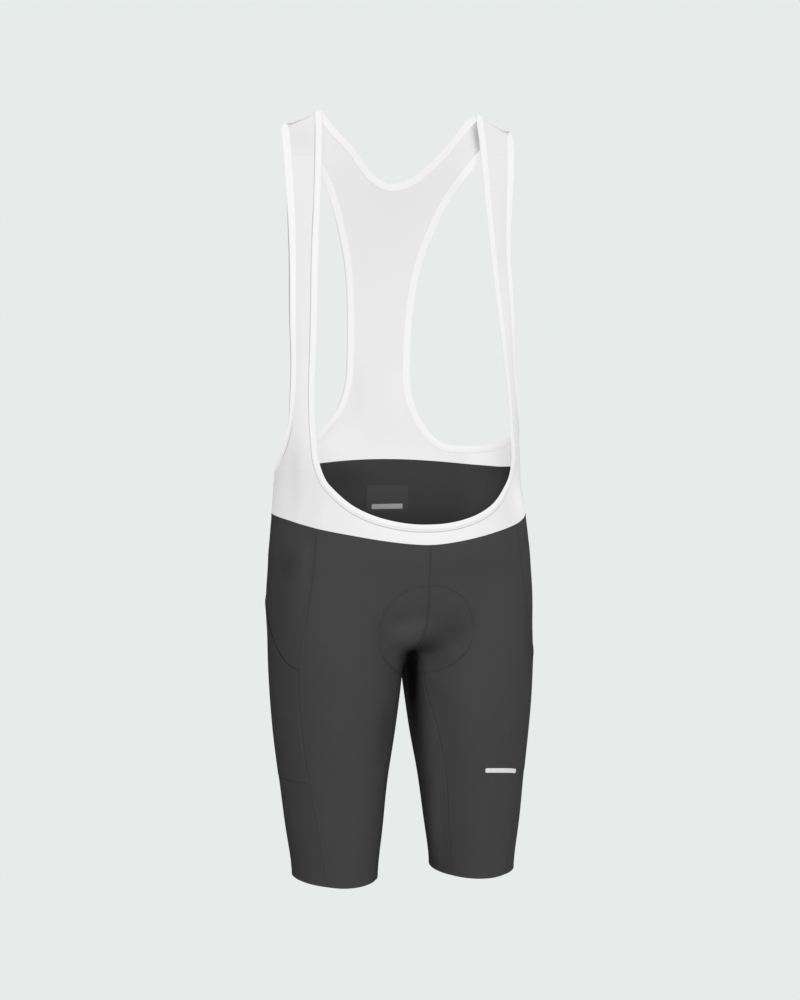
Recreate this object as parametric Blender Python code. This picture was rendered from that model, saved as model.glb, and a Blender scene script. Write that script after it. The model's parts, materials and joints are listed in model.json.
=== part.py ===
"""Cycling bib shorts, built as cut and sewn cloth walls on a general standing figure.

Axes: +Z up, the wearer looks along -Y, +X is the wearer's left. Lengths in metres unless a table says
millimetres. The origin is the midpoint between the undersides of the two shoulder straps.

The figure is only a guide surface and is not built: elliptical torso sections joined softly to two legs.
Every seam and every edge is a smooth curve through a short table of points, laid onto the figure and
sampled evenly. A panel is one or more four-sided patches stretched between those curves, laid onto the
figure, and thickened into a closed wall. Panels that share a seam use the same samples of it.
"""

import bpy
import numpy as np

MM = 0.001
SEAM_GAP = 0.3 * MM          # clear space between two sewn panels
SHORTS_WALL = 1.1 * MM       # knit fabric of the shorts
BIB_WALL = 1.0 * MM          # knit and mesh of the bib
BINDING_WALL = 1.6 * MM      # folded edge tape
BINDING_SINK = 0.3 * MM      # how far the tape reaches inside the panel's inner face
BINDING_WIDTH = 9.5 * MM     # visible width of the edge tape
BINDING_GAP = 0.25 * MM      # the tape's share of the gap beside a panel, wider for the fold on the shoulder
POCKET_LIFT = 0.3 * MM       # clear space between the side panel and the pocket layer
POCKET_EDGE = 1.2 * MM       # the pocket layer stops this far inside its seams
PAD_CLEAR = 3.0 * MM         # clear space between the seat pad and the panels around it
PAD_EDGE = 1.6 * MM          # thickness of the pad at its stitched outline
PAD_CENTRE = 6.5 * MM        # thickness of the pad along its middle
PAD_SIDE_BEVEL = 0.45        # share of the pad's half width over which it thins to its outline
PAD_END_BEVEL = 0.2          # share of the pad's length over which each end thins
PAD_STEPS = 24               # cells along the pad
PAD_CELLS = 6                # cells across half the pad
STRAP_CELLS = 4              # cells across a shoulder strap
SPINE_CELLS = 20             # cells down the mesh back, from the neckline to the spine's foot
BAND_CELLS = 3               # cells across the mesh band above the back panel
WELD_STEP = 0.01 * MM        # points closer than this are one point
GRIP_TOP = -0.060            # above this height the straps hang free of the figure
GRIP_FULL = -0.130           # below this height the cloth lies on the figure
WEAR_POINT = np.array([0.0, 15.5, -11.0]) * MM   # middle of the two straps' undersides

# Torso sections. height, half width, y of the widest line, y of the front, y of the back, roundness.
TORSO = np.array([
    (-20.0, 172.0, 15.0, 6.0, 23.0, 2.0),
    (-57.0, 172.0, 15.0, -1.0, 27.0, 2.0),
    (-108.0, 165.0, 26.0, -12.0, 53.0, 2.0),
    (-167.0, 158.0, 33.0, -26.0, 74.0, 2.0),
    (-227.0, 155.0, 27.0, -40.0, 89.0, 2.0),
    (-300.0, 147.5, 20.0, -65.0, 98.5, 2.0),
    (-340.0, 149.0, 19.0, -75.0, 102.0, 2.0),
    (-380.0, 150.0, 19.0, -86.0, 105.0, 2.0),
    (-418.0, 150.5, 20.0, -101.0, 106.0, 2.0),
    (-450.0, 152.5, 20.5, -101.0, 104.5, 2.0),
    (-483.0, 156.5, 16.5, -103.5, 105.0, 2.0),
    (-515.0, 160.0, 13.5, -104.5, 109.0, 2.0),
    (-550.0, 160.5, 11.0, -101.0, 116.0, 2.1),
    (-580.0, 159.5, 10.0, -98.0, 120.0, 2.1),
    (-600.0, 156.0, 8.5, -92.0, 118.0, 2.1),
    (-620.0, 149.0, 6.0, -79.0, 110.0, 2.0),
    (-636.0, 135.0, 6.0, -56.0, 94.0, 2.0),
    (-650.0, 110.0, 8.0, -15.0, 60.0, 2.0),
]) * np.array([MM, MM, MM, MM, MM, 1.0])

# Leg sections. height, x of the middle, half width, y of the middle, of the front and of the back, roundness.
LEG = np.array([
    (-540.0, 76.0, 70.0, 8.0, -70.0, 85.0, 2.0),
    (-590.0, 79.5, 77.6, 7.0, -86.0, 106.0, 2.0),
    (-620.0, 82.0, 78.7, 6.5, -90.0, 110.0, 2.0),
    (-650.0, 84.0, 77.7, 6.0, -90.0, 106.0, 2.0),
    (-680.0, 84.8, 76.2, 5.5, -88.0, 99.5, 2.0),
    (-706.5, 85.6, 74.3, 5.0, -85.0, 93.5, 2.0),
    (-750.0, 86.6, 70.0, 4.5, -78.0, 85.0, 2.0),
    (-800.0, 87.8, 63.3, 2.0, -71.0, 73.0, 2.0),
    (-860.0, 88.0, 56.5, -2.0, -66.0, 62.0, 2.0),
    (-900.0, 87.6, 51.0, -3.5, -62.5, 56.0, 2.0),
    (-935.0, 87.4, 48.6, -3.5, -59.5, 54.0, 2.0),
]) * np.array([MM, MM, MM, MM, MM, MM, 1.0])
JOIN_RADIUS = 22.0 * MM      # softness of the join between the torso and a leg, at the front and the side
JOIN_BACK = 38.0 * MM        # the same at the back, under the seat
BACK_DEPTH = 140.0 * MM      # how far behind the middle the back's softness is reached
FLOOR_RADIUS = 12.0 * MM     # softness of the torso's lower end
MIDLINE_RADIUS = 7.0 * MM    # softness of the crease between the two legs

# Seams and edges of the wearer's left half, each a table of x, y, z in millimetres.
CENTRE_FRONT = [
    (0.0, -104.5, -511.8), (0.0, -103.0, -530.0), (0.0, -100.5, -555.0), (0.0, -98.0, -580.0),
    (0.0, -94.0, -596.0), (0.0, -82.0, -617.0), (0.0, -67.0, -630.5), (0.0, -50.0, -639.0),
    (0.0, -34.0, -645.0),
]
CROTCH = [(0.0, -34.0, -645.0), (0.0, -5.0, -652.0), (0.0, 22.0, -653.0), (0.0, 48.0, -650.0)]
CENTRE_BACK = [
    (0.0, 106.0, -422.3), (0.0, 104.5, -450.0), (0.0, 106.0, -490.0), (0.0, 115.0, -545.0),
    (0.0, 120.0, -580.0), (0.0, 113.0, -612.0), (0.0, 90.0, -636.0), (0.0, 68.0, -646.0),
    (0.0, 48.0, -650.0),
]
INNER_FRONT = [
    (0.0, -34.0, -645.0), (7.5, -33.0, -656.0), (13.3, -32.4, -664.5), (17.1, -37.7, -691.0),
    (25.8, -45.8, -729.0), (33.9, -48.1, -765.0), (40.0, -47.0, -801.0), (44.3, -43.9, -851.0),
    (48.0, -41.5, -895.0), (49.2, -41.1, -918.0),
]
INNER_BACK = [
    (0.0, 48.0, -650.0), (8.0, 47.0, -660.0), (14.5, 46.5, -672.0), (20.0, 49.0, -697.0),
    (27.5, 52.0, -730.0), (36.0, 50.0, -770.0), (41.5, 46.0, -805.0), (46.5, 40.0, -855.0),
    (50.5, 35.5, -912.5),
]
SIDE_FRONT = [
    (126.5, -59.6, -492.8), (129.5, -61.5, -530.0), (132.4, -61.5, -561.0), (138.4, -60.0, -602.0),
    (144.5, -53.5, -640.0), (145.6, -52.6, -659.5), (144.5, -51.5, -699.0), (140.8, -51.0, -734.0),
    (134.7, -50.4, -779.0), (132.3, -50.7, -794.5), (124.5, -52.7, -839.0), (117.5, -53.5, -881.0),
    (111.4, -53.5, -918.6),
]
SIDE_FRONT_STOPS = [(5, 10), (9, 10), (12, 8)]     # pocket opening, pocket bottom, hem
SIDE_BACK = [
    (134.6, 62.9, -430.5), (131.5, 67.0, -468.0), (130.0, 69.6, -485.0), (131.0, 76.0, -535.0),
    (133.5, 79.0, -573.0), (139.0, 75.0, -620.0), (140.5, 66.0, -680.0), (136.0, 57.0, -740.0),
    (129.5, 50.0, -794.5), (122.0, 44.0, -855.0), (116.0, 40.0, -914.0),
]
SIDE_BACK_STOPS = [(2, 5), (4, 10), (8, 10), (10, 8)]   # waist level, pocket opening, bottom, hem
WAIST = [
    (0.0, -104.5, -511.8), (21.0, -103.3, -510.6), (43.0, -100.1, -508.0), (66.0, -93.5, -504.5),
    (88.0, -84.5, -500.5), (108.0, -74.0, -496.8), (126.5, -59.6, -492.8), (140.5, -43.5, -488.8),
    (150.0, -26.0, -485.3), (155.3, -5.0, -483.0), (155.5, 16.0, -481.3), (154.0, 30.0, -480.5),
]
WAIST_STOPS = [(6, 8), (11, 6)]                    # side seam, end of the white yoke
YOKE_END = [(154.0, 30.0, -480.5), (151.5, 30.5, -459.0), (150.0, 31.0, -438.0)]
SIDE_LEVEL = [(154.0, 30.0, -480.5), (144.0, 53.0, -482.0), (130.0, 69.6, -485.0)]
SIDE_TOP = [(150.0, 31.0, -438.0), (143.5, 50.0, -433.0), (134.6, 62.9, -430.5)]
BACK_TOP = [
    (0.0, 106.0, -422.3), (35.0, 102.0, -423.0), (70.0, 97.0, -425.2), (98.0, 88.5, -427.6),
    (118.0, 77.0, -429.4), (134.6, 62.9, -430.5),
]
BACK_TOP_STOPS = [(2, 7), (5, 4)]                  # end of the mesh's middle, side seam
POCKET_OPENING = [
    (145.6, -52.6, -659.5), (154.3, -34.9, -652.7), (160.2, -17.5, -640.0), (163.8, 3.0, -622.5),
    (163.0, 22.0, -602.5), (153.5, 52.0, -582.0), (133.5, 79.0, -573.0),
]
POCKET_BOTTOM = [
    (132.3, -50.7, -794.5), (140.5, -39.0, -795.0), (147.7, -22.3, -795.5), (151.5, 0.0, -795.3),
    (148.0, 25.0, -795.0), (129.5, 50.0, -794.5),
]
HEM_FRONT = [
    (49.2, -41.1, -918.0), (60.0, -52.5, -919.5), (74.8, -61.0, -920.5), (93.0, -62.5, -920.5),
    (111.4, -53.5, -918.6),
]
HEM_SIDE = [(111.4, -53.5, -918.6), (128.0, -34.0, -916.8), (136.3, -3.5, -915.0), (130.0, 26.0, -914.2),
            (116.0, 40.0, -914.0)]
HEM_BACK = [(116.0, 40.0, -914.0), (99.0, 51.0, -913.0), (80.0, 52.5, -912.5), (63.0, 46.5, -912.3),
            (50.5, 35.5, -912.5)]
HEM_INNER = [(49.2, -41.1, -918.0), (40.5, -22.0, -916.5), (38.3, -2.0, -915.0), (42.0, 19.0, -913.5),
             (50.5, 35.5, -912.5)]

# The neck opening's edge: up from the middle of the scoop, over the shoulder, to the middle of the neckline.
NECK = [
    (0.0, -104.5, -488.0), (20.0, -103.5, -487.2), (44.3, -99.7, -483.3), (66.0, -93.0, -476.8),
    (87.0, -82.5, -466.0), (105.0, -69.5, -449.5), (113.5, -62.0, -438.5), (119.6, -56.0, -421.5),
    (122.0, -48.0, -390.0), (119.5, -37.0, -340.0), (114.5, -28.0, -280.0), (111.0, -19.6, -227.0),
    (107.0, -10.0, -167.0), (102.7, -4.0, -108.0), (99.6, 2.0, -57.0), (97.2, 8.0, -20.0),
    (95.3, 13.8, -3.0), (90.0, 18.0, -11.0), (80.0, 21.0, -25.0), (67.0, 23.5, -39.5), (52.0, 28.0, -55.0),
    (36.0, 35.0, -72.0), (20.0, 42.0, -84.5), (0.0, 46.0, -90.5),
]
NECK_STOPS = [(6, 14), (7, 6), (14, 26), (16, 6), (21, 11), (23, 3)]
# The armhole's edge: from its lowest point up the front strap, over the shoulder and down the back.
ARMHOLE = [
    (149.5, 31.0, -419.0), (148.0, 18.0, -413.5), (144.8, 2.0, -398.0), (143.6, -7.0, -375.0),
    (142.3, -8.5, -335.0), (141.3, -5.0, -280.0), (141.0, -1.0, -227.0), (140.6, 4.0, -167.0),
    (142.0, 6.5, -108.0), (144.8, 8.5, -57.0), (145.6, 12.0, -33.0), (145.0, 17.0, -19.0),
    (138.0, 21.0, -27.5), (124.0, 24.5, -41.0), (106.0, 29.5, -60.0), (89.5, 37.0, -82.5),
    (76.5, 47.5, -105.0), (63.5, 60.0, -138.0), (54.0, 71.5, -167.0), (46.5, 81.0, -203.0),
    (42.5, 88.5, -245.0), (41.5, 95.0, -290.0), (43.5, 101.0, -335.0), (52.0, 103.0, -361.5),
    (69.0, 99.0, -388.0), (84.0, 94.0, -403.5), (103.0, 86.0, -411.5), (124.0, 71.0, -414.5),
    (141.0, 50.5, -417.5),
]
ARMHOLE_STOPS = [(9, 26), (11, 6), (16, 11), (24, 20), (29, 7)]
# Rises in mm of single rows on the wearer's left and right: the bib hangs a little uneven.
RISES = {
    "yoke_end": {1: (4.5, -3.0), 2: (9.0, -6.0)},
    "side_top": {0: (9.0, -6.0), 1: (5.0, -5.0)},
    "neck": {
        17: (3.5, 2.5), 18: (5.5, 5.0), 19: (3.0, 7.5), 20: (1.0, 9.0), 21: (2.0, 8.0), 22: (3.5, 6.5),
        23: (5.5, 5.5),
    },
    "armhole": {
        0: (26.0, -9.0), 1: (22.0, -6.0), 2: (15.0, -3.0), 3: (7.0, -1.0), 10: (-3.0, 0.0), 11: (-4.0, 0.0),
        12: (-3.0, 0.0), 22: (0.0, 8.0), 23: (-1.0, 8.0), 24: (-3.5, 11.0), 25: (0.0, 10.0), 26: (5.5, 6.0),
        27: (9.0, 2.0), 28: (16.5, -4.0),
    },
}
# First and last point of a line.
ENDS = [0, -1]
SPINE_FOOT = (0.0, 105.0, -391.0)    # where the mesh begins to spread above the back panel

# The seat pad lies between its middle line and its stitched outline, both from front to back.
PAD_MIDDLE = [
    (0.0, -101.0, -560.0), (0.0, -98.0, -585.0), (0.0, -82.0, -617.0), (0.0, -50.0, -639.0),
    (0.0, -15.0, -651.0), (0.0, 25.0, -653.0), (0.0, 62.0, -647.0), (0.0, 90.0, -636.0),
    (0.0, 113.0, -612.0), (0.0, 119.0, -585.0),
]
PAD_OUTLINE = [
    (20.0, -99.3, -561.5), (44.0, -95.0, -577.0), (58.0, -89.5, -607.0), (54.0, -82.0, -640.0),
    (33.0, -66.0, -662.0), (16.0, -30.0, -672.0), (17.0, 30.0, -676.0), (40.0, 72.0, -672.0),
    (62.0, 97.0, -650.0), (64.0, 112.0, -618.0), (36.0, 118.5, -587.0),
]


def blend(values):
    """Smooth step from 0 to 1."""
    t = np.clip(values, 0.0, 1.0)
    return t * t * (3.0 - 2.0 * t)


def hermite(keys, rows, at):
    """Smooth curve through rows given at rising keys, read at the values 'at'."""
    at = np.clip(at, keys[0], keys[-1])
    step = np.diff(keys)[:, None]
    slope = np.diff(rows, axis=0) / step
    lean = np.empty_like(rows)
    lean[0], lean[-1] = slope[0], slope[-1]
    lean[1:-1] = (slope[:-1] * step[1:] + slope[1:] * step[:-1]) / (step[1:] + step[:-1])
    i = np.clip(np.searchsorted(keys, at, side="right") - 1, 0, len(keys) - 2)
    h = (keys[i + 1] - keys[i])[..., None]
    t = (at - keys[i])[..., None] / h
    first = (1.0 + 2.0 * t) * (1.0 - t) ** 2 * rows[i] + t * (1.0 - t) ** 2 * h * lean[i]
    return first + t * t * (3.0 - 2.0 * t) * rows[i + 1] - t * t * (1.0 - t) * h * lean[i + 1]


def ring_distance(x, y, half_width, front, back, roundness):
    """Distance from a section's outline, negative inside, measured along the line to its middle."""
    depth = np.where(y < 0.0, front, back)
    reach = (np.abs(x / half_width) ** roundness + np.abs(y / depth) ** roundness) ** (1.0 / roundness)
    return np.hypot(x, y) * (1.0 - 1.0 / np.maximum(reach, 1e-6))


def figure(points):
    """Distance from the figure's skin, negative inside."""
    x, y, z = np.moveaxis(points, -1, 0)
    half, middle, front, back, round_ = np.moveaxis(hermite(-TORSO[:, 0], TORSO[:, 1:], -z), -1, 0)
    torso = ring_distance(x, y - middle, half, middle - front, back - middle, round_)
    below = TORSO[-1, 0] - z
    soft = np.maximum(FLOOR_RADIUS - np.abs(torso - below), 0.0) / FLOOR_RADIUS
    torso = np.maximum(torso, below) + soft * soft * FLOOR_RADIUS / 4.0
    leg_x, half, middle, front, back, round_ = np.moveaxis(hermite(-LEG[:, 0], LEG[:, 1:], -z), -1, 0)
    side = np.sqrt(x * x + MIDLINE_RADIUS ** 2) - leg_x
    leg = ring_distance(side, y - middle, half, middle - front, back - middle, round_)
    leg = np.maximum(leg, z - LEG[0, 0])
    radius = JOIN_RADIUS + (JOIN_BACK - JOIN_RADIUS) * blend(y / BACK_DEPTH)
    soft = np.maximum(radius - np.abs(torso - leg), 0.0) / radius
    return np.minimum(torso, leg) - soft * soft * radius / 4.0


def outward(points):
    """Slope of the figure's distance, which points away from the skin."""
    step = 0.2 * MM
    sides = [figure(points + step * axis) - figure(points - step * axis) for axis in np.eye(3)]
    return np.stack(sides, axis=-1) / (2.0 * step)


def grip(points):
    """1 where the cloth lies on the figure, 0 where the straps hang free above the chest."""
    return blend((GRIP_TOP - points[..., 2]) / (GRIP_TOP - GRIP_FULL))[..., None]


def settle(points):
    """Move points onto the figure's skin, as far as the cloth lies on it."""
    points = np.array(points, float)
    hold = grip(points)
    laid = points.copy()
    for _ in range(6):
        slope = outward(laid)
        square = np.maximum((slope * slope).sum(-1), 0.2)
        laid = laid - (figure(laid) / square)[..., None] * slope
    laid = np.where(np.abs(points[..., :1]) < 1e-9, laid * np.array([0.0, 1.0, 1.0]), laid)
    return points + hold * (laid - points)


def evenly(points, count):
    """The same line with count equal steps."""
    length = np.r_[0.0, np.cumsum(np.linalg.norm(np.diff(points, axis=0), axis=1))]
    at = np.linspace(0.0, length[-1], count + 1)
    return np.stack([np.interp(at, length, points[:, k]) for k in range(3)], axis=-1)


def trace(table, stops=None, mirror=(False, False), closed=False):
    """Lay a table's smooth curve on the figure. Returns one evenly stepped line for each stop.

    stops holds (row, steps) pairs. A mirrored end meets its own reflection across the middle plane smoothly.
    """
    rows = np.array(table) * MM
    start = 0
    if closed:
        rows = np.vstack([rows[-2:], rows, rows[:3]])
        start = 2
    if mirror[0]:
        rows = np.vstack([rows[1] * (-1, 1, 1), rows])
        start = 1
    if mirror[1]:
        rows = np.vstack([rows, rows[-2] * (-1, 1, 1)])
    keys = np.r_[0.0, np.cumsum(np.linalg.norm(np.diff(rows, axis=0), axis=1))]
    lines = []
    for row, steps in stops:
        row = row + (2 if closed else int(mirror[0]))
        dense = settle(hermite(keys, rows, np.linspace(keys[start], keys[row], 40 * (row - start) + 1)))
        line = settle(evenly(dense, steps))
        line[0], line[-1] = dense[0], dense[-1]
        lines.append(line)
        start = row
    return lines


def chain(*lines):
    """Join lines end to end."""
    return np.vstack([lines[0]] + [line[1:] for line in lines[1:]])


def rung(start, end, count):
    """A straight line between two points, laid on the figure."""
    line = settle(start + np.linspace(0.0, 1.0, count + 1)[:, None] * (end - start))
    line[0], line[-1] = start, end
    return line


def taped(edge, opposite, width):
    """An edge moved into the cloth by a width, at right angles to itself and towards the opposite line."""
    run = np.gradient(edge, axis=0)
    run /= np.linalg.norm(run, axis=1)[:, None]
    across = opposite - edge
    across -= (across * run).sum(1)[:, None] * run
    across /= np.linalg.norm(across, axis=1)[:, None]
    return settle(edge + width * across)


def patch(top, bottom, left, right):
    """Stretch a grid between four lines that share corners, then lay it on the figure."""
    v = np.linspace(0.0, 1.0, len(left))[:, None, None]
    u = np.linspace(0.0, 1.0, len(top))[None, :, None]
    grid = (1 - v) * top[None] + v * bottom[None] + (1 - u) * left[:, None] + u * right[:, None]
    grid -= (1 - u) * (1 - v) * top[0] + u * (1 - v) * top[-1]
    grid -= (1 - u) * v * bottom[0] + u * v * bottom[-1]
    grid[1:-1, 1:-1] = settle(grid[1:-1, 1:-1])
    return grid


def faces_outward(grid):
    """The same grid with its rows and columns ordered so that its faces look away from the figure."""
    across = grid[1:, 1:] - grid[:-1, :-1]
    other = grid[:-1, 1:] - grid[1:, :-1]
    normal = np.cross(across, other)
    middle = (grid[1:, 1:] + grid[:-1, :-1]) / 2.0
    held = middle[..., 2] < GRIP_FULL
    if not held.any():
        held = np.ones(held.shape, bool)
    agree = (normal * outward(middle)).sum(-1)[held].sum()
    return grid if agree > 0.0 else grid[:, ::-1]


def mirrored(grid):
    """The other side's grid, with its faces still looking outward."""
    return (grid * np.array([-1.0, 1.0, 1.0]))[:, ::-1]


def place(point):
    """A point's position in whole steps of the welding distance."""
    return tuple(np.round(point / WELD_STEP).astype(int))


def weld(grids):
    """One list of points and four-cornered faces from grids that share edges."""
    points, faces, known = [], [], {}
    for grid in grids:
        index = np.empty(grid.shape[:2], int)
        for i, row in enumerate(grid):
            for j, point in enumerate(row):
                key = place(point)
                if key not in known:
                    known[key] = len(points)
                    points.append(point)
                index[i, j] = known[key]
        cells = [index[:-1, :-1], index[1:, :-1], index[1:, 1:], index[:-1, 1:]]
        faces.append(np.stack(cells, -1).reshape(-1, 4))
    return np.array(points), np.vstack(faces)


def point_normals(points, faces):
    """Outward direction at every point, from the figure below the chest and from the faces above it."""
    corner = points[faces]
    normal = np.cross(corner[:, 2] - corner[:, 0], corner[:, 3] - corner[:, 1])
    total = np.zeros_like(points)
    for k in range(faces.shape[1]):
        np.add.at(total, faces[:, k], normal)
    total /= np.linalg.norm(total, axis=1)[:, None]
    slope = outward(points)
    slope /= np.linalg.norm(slope, axis=1)[:, None]
    hold = grip(points)
    mixed = hold * slope + (1.0 - hold) * total
    return mixed / np.linalg.norm(mixed, axis=1)[:, None]


def border_edges(faces):
    """Directed edges that only one face uses."""
    edges = np.vstack([faces[:, [k, (k + 1) % 4]] for k in range(4)])
    seen = set(map(tuple, edges))
    return np.array([edge for edge in map(tuple, edges) if edge[::-1] not in seen])


def inset(points, normals, edges, amount):
    """Move the border into the panel by an amount."""
    run = points[edges[:, 1]] - points[edges[:, 0]]
    run /= np.linalg.norm(run, axis=1)[:, None]
    inward = np.cross(normals[edges[:, 0]] + normals[edges[:, 1]], run)
    inward /= np.linalg.norm(inward, axis=1)[:, None]
    first, second = {}, {}
    for (a, b), direction in zip(edges, inward):
        first[b] = direction
        second[a] = direction
    moved = points.copy()
    for point in first:
        total = first[point] + second[point]
        moved[point] += amount * total / max(1.0 + first[point] @ second[point], 0.5)
    return moved


def wall(grids, low, high, edge_inset=SEAM_GAP / 2.0):
    """A closed wall between two offsets of a welded panel. Returns points and triangles."""
    points, faces = weld(grids)
    normals = point_normals(points, faces)
    edges = border_edges(faces)
    points = inset(points, normals, edges, edge_inset)
    count = len(points)
    low = low(points) if callable(low) else low
    corner = points[faces]
    short = (np.linalg.norm(corner[:, 0] - corner[:, 2], axis=1)
             <= np.linalg.norm(corner[:, 1] - corner[:, 3], axis=1))[:, None]
    one = np.where(short, faces[:, [0, 1, 2]], faces[:, [0, 1, 3]])
    two = np.where(short, faces[:, [0, 2, 3]], faces[:, [1, 2, 3]])
    skin = np.vstack([one, two])
    a, b = edges[:, 0], edges[:, 1]
    rim = np.vstack([np.stack([a, a + count, b + count], -1), np.stack([a, b + count, b], -1)])
    triangles = np.vstack([skin, skin[:, ::-1] + count, rim])
    return np.vstack([points + high * normals, points + normals * np.reshape(low, (-1, 1))]), triangles


def closed_tape(outer, inner, low, high):
    """A closed ring of edge tape between two loops of equal count, each given without its repeated end."""
    grid = np.stack([outer, inner])
    grid = np.concatenate([grid, grid[:, :1]], axis=1)
    return wall([faces_outward(grid)], low, high, 0.0)


def worn(name, table, side):
    """A table's rows as one side wears them: 0 for the wearer's left, 1 for the right."""
    rows = np.array(table)
    for row, rises in RISES[name].items():
        rows[row, 2] += rises[side]
    return rows


def seams(side):
    """All seams and edges of one half, drawn as a left one, sampled once so that neighbours share points."""
    s = {}
    s["centre_front"], = trace(CENTRE_FRONT, [(8, 10)])
    s["crotch"], = trace(CROTCH, [(3, 5)])
    s["centre_back"], = trace(CENTRE_BACK, [(8, 15)])
    s["inner_front"], = trace(INNER_FRONT, [(9, 18)])
    s["inner_back"], = trace(INNER_BACK, [(8, 18)])
    s["front_upper"], s["front_pocket"], s["front_lower"] = trace(SIDE_FRONT, SIDE_FRONT_STOPS)
    s["back_rise"], s["back_upper"], s["back_pocket"], s["back_lower"] = trace(SIDE_BACK, SIDE_BACK_STOPS)
    s["waist_front"], s["waist_side"] = trace(WAIST, WAIST_STOPS, (True, False))
    s["yoke_end"], = trace(worn("yoke_end", YOKE_END, side), [(2, 5)])
    s["side_level"], = trace(SIDE_LEVEL, [(2, 3)])
    s["side_top"], = trace(worn("side_top", SIDE_TOP, side), [(2, 3)])
    s["back_middle"], s["back_side"] = trace(BACK_TOP, BACK_TOP_STOPS, (True, False))
    s["opening"], = trace(POCKET_OPENING, [(6, 9)])
    s["bottom"], = trace(POCKET_BOTTOM, [(5, 9)])
    s["hem_front"], = trace(HEM_FRONT, [(4, 8)])
    s["hem_side"], = trace(HEM_SIDE, [(4, 9)])
    s["hem_back"], = trace(HEM_BACK, [(4, 11)])
    s["hem_inner"], = trace(HEM_INNER, [(4, 5)])
    return s


SHARED_CORNERS = [
    # Line ends that are one point: the first names the point, the rest are moved to it.
    [("waist_front", 0), ("centre_front", 0)],
    [("centre_front", -1), ("crotch", 0), ("inner_front", 0)],
    [("crotch", -1), ("inner_back", 0), ("centre_back", -1)],
    [("back_middle", 0), ("centre_back", 0)],
    [("waist_front", -1), ("waist_side", 0), ("front_upper", 0)],
    [("waist_side", -1), ("yoke_end", 0), ("side_level", 0)],
    [("yoke_end", -1), ("side_top", 0)],
    [("side_top", -1), ("back_rise", 0), ("back_side", -1)],
    [("back_rise", -1), ("side_level", -1), ("back_upper", 0)],
    [("front_upper", -1), ("opening", 0), ("front_pocket", 0)],
    [("back_upper", -1), ("opening", -1), ("back_pocket", 0)],
    [("front_pocket", -1), ("bottom", 0), ("front_lower", 0)],
    [("back_pocket", -1), ("bottom", -1), ("back_lower", 0)],
    [("front_lower", -1), ("hem_front", -1), ("hem_side", 0)],
    [("back_lower", -1), ("hem_side", -1), ("hem_back", 0)],
    [("inner_front", -1), ("hem_front", 0), ("hem_inner", 0)],
    [("inner_back", -1), ("hem_back", -1), ("hem_inner", -1)],
]


def join_corners(s):
    """Make lines that end at one corner end at exactly the same point."""
    for group in SHARED_CORNERS:
        name, end = group[0]
        for other, at in group[1:]:
            s[other][at] = s[name][end]
    return s


def bib_lines(s, side):
    """One side's opening edges, and the lines where its panels meet the edge tape."""
    neck = trace(worn("neck", NECK, side), NECK_STOPS, (True, True))
    arm = trace(worn("armhole", ARMHOLE, side), ARMHOLE_STOPS, closed=True)
    for lines in (neck, arm):
        for one, two in zip(lines[:-1], lines[1:]):
            two[0] = one[-1]
    arm[-1][-1] = arm[0][0]
    yoke = chain(s["yoke_end"], rung(s["yoke_end"][-1], arm[0][0], 1))
    foot = settle(np.array([SPINE_FOOT]) * MM)[0]
    band = chain(s["back_side"], s["side_top"][::-1])
    opposite_neck = chain(
        chain(s["waist_front"], s["waist_side"]), yoke, arm[0], arm[1], arm[2],
        rung(arm[2][-1], foot, BAND_CELLS))
    opposite_arm = chain(neck[2], neck[3], neck[4], rung(neck[4][-1], foot, SPINE_CELLS), band)
    neck_edge = chain(*neck)
    arm_edge = chain(*arm)
    neck_line = taped(neck_edge, opposite_neck, BINDING_WIDTH)
    arm_line = taped_loop(arm_edge, opposite_arm, BINDING_WIDTH)
    neck_line[ENDS] = middle_ends(neck_edge[ENDS], opposite_neck[ENDS])
    return neck_edge, neck_line, arm_edge, arm_line, foot


def middle_ends(edge, opposite):
    """The ends of the neck's taped line, straight below or above the edge's own in the middle plane."""
    in_plane = np.array([0.0, 1.0, 1.0])
    across = (opposite - edge) * in_plane
    across /= np.linalg.norm(across, axis=1)[:, None]
    return settle(edge + BINDING_WIDTH * across) * in_plane


def taped_loop(edge, opposite, width):
    """The same as taped, for a closed loop whose last point repeats the first."""
    around = np.vstack([edge[-2:-1], edge, edge[1:2]])
    facing = np.vstack([opposite[-2:-1], opposite, opposite[1:2]])
    line = taped(around, facing, width)[1:-1]
    line[-1] = line[0]
    return line


def shorts_grids(s):
    """Grids of half the shorts, one list of patches for each panel."""
    front = patch(
        s["waist_front"], s["hem_front"],
        chain(s["centre_front"], s["inner_front"]),
        chain(s["front_upper"], s["front_pocket"], s["front_lower"]))
    upper = patch(chain(s["waist_side"], s["side_level"]), s["opening"], s["front_upper"], s["back_upper"])
    pocket = patch(s["opening"], s["bottom"], s["front_pocket"], s["back_pocket"])
    lower = patch(s["bottom"], s["hem_side"], s["front_lower"], s["back_lower"])
    rise = patch(s["side_top"], s["side_level"], s["yoke_end"][::-1], s["back_rise"])
    back = patch(
        chain(s["back_middle"], s["back_side"]), s["hem_back"][::-1],
        chain(s["centre_back"], s["inner_back"]),
        chain(s["back_rise"], s["back_upper"], s["back_pocket"], s["back_lower"]))
    inner = patch(s["crotch"], s["hem_inner"], s["inner_front"], s["inner_back"])
    return {
        "front_panel": [front],
        "side_panel": [upper, pocket, lower, rise],
        "pocket": [pocket],
        "back_panel": [back],
        "inner_leg_panel": [inner],
    }


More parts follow.
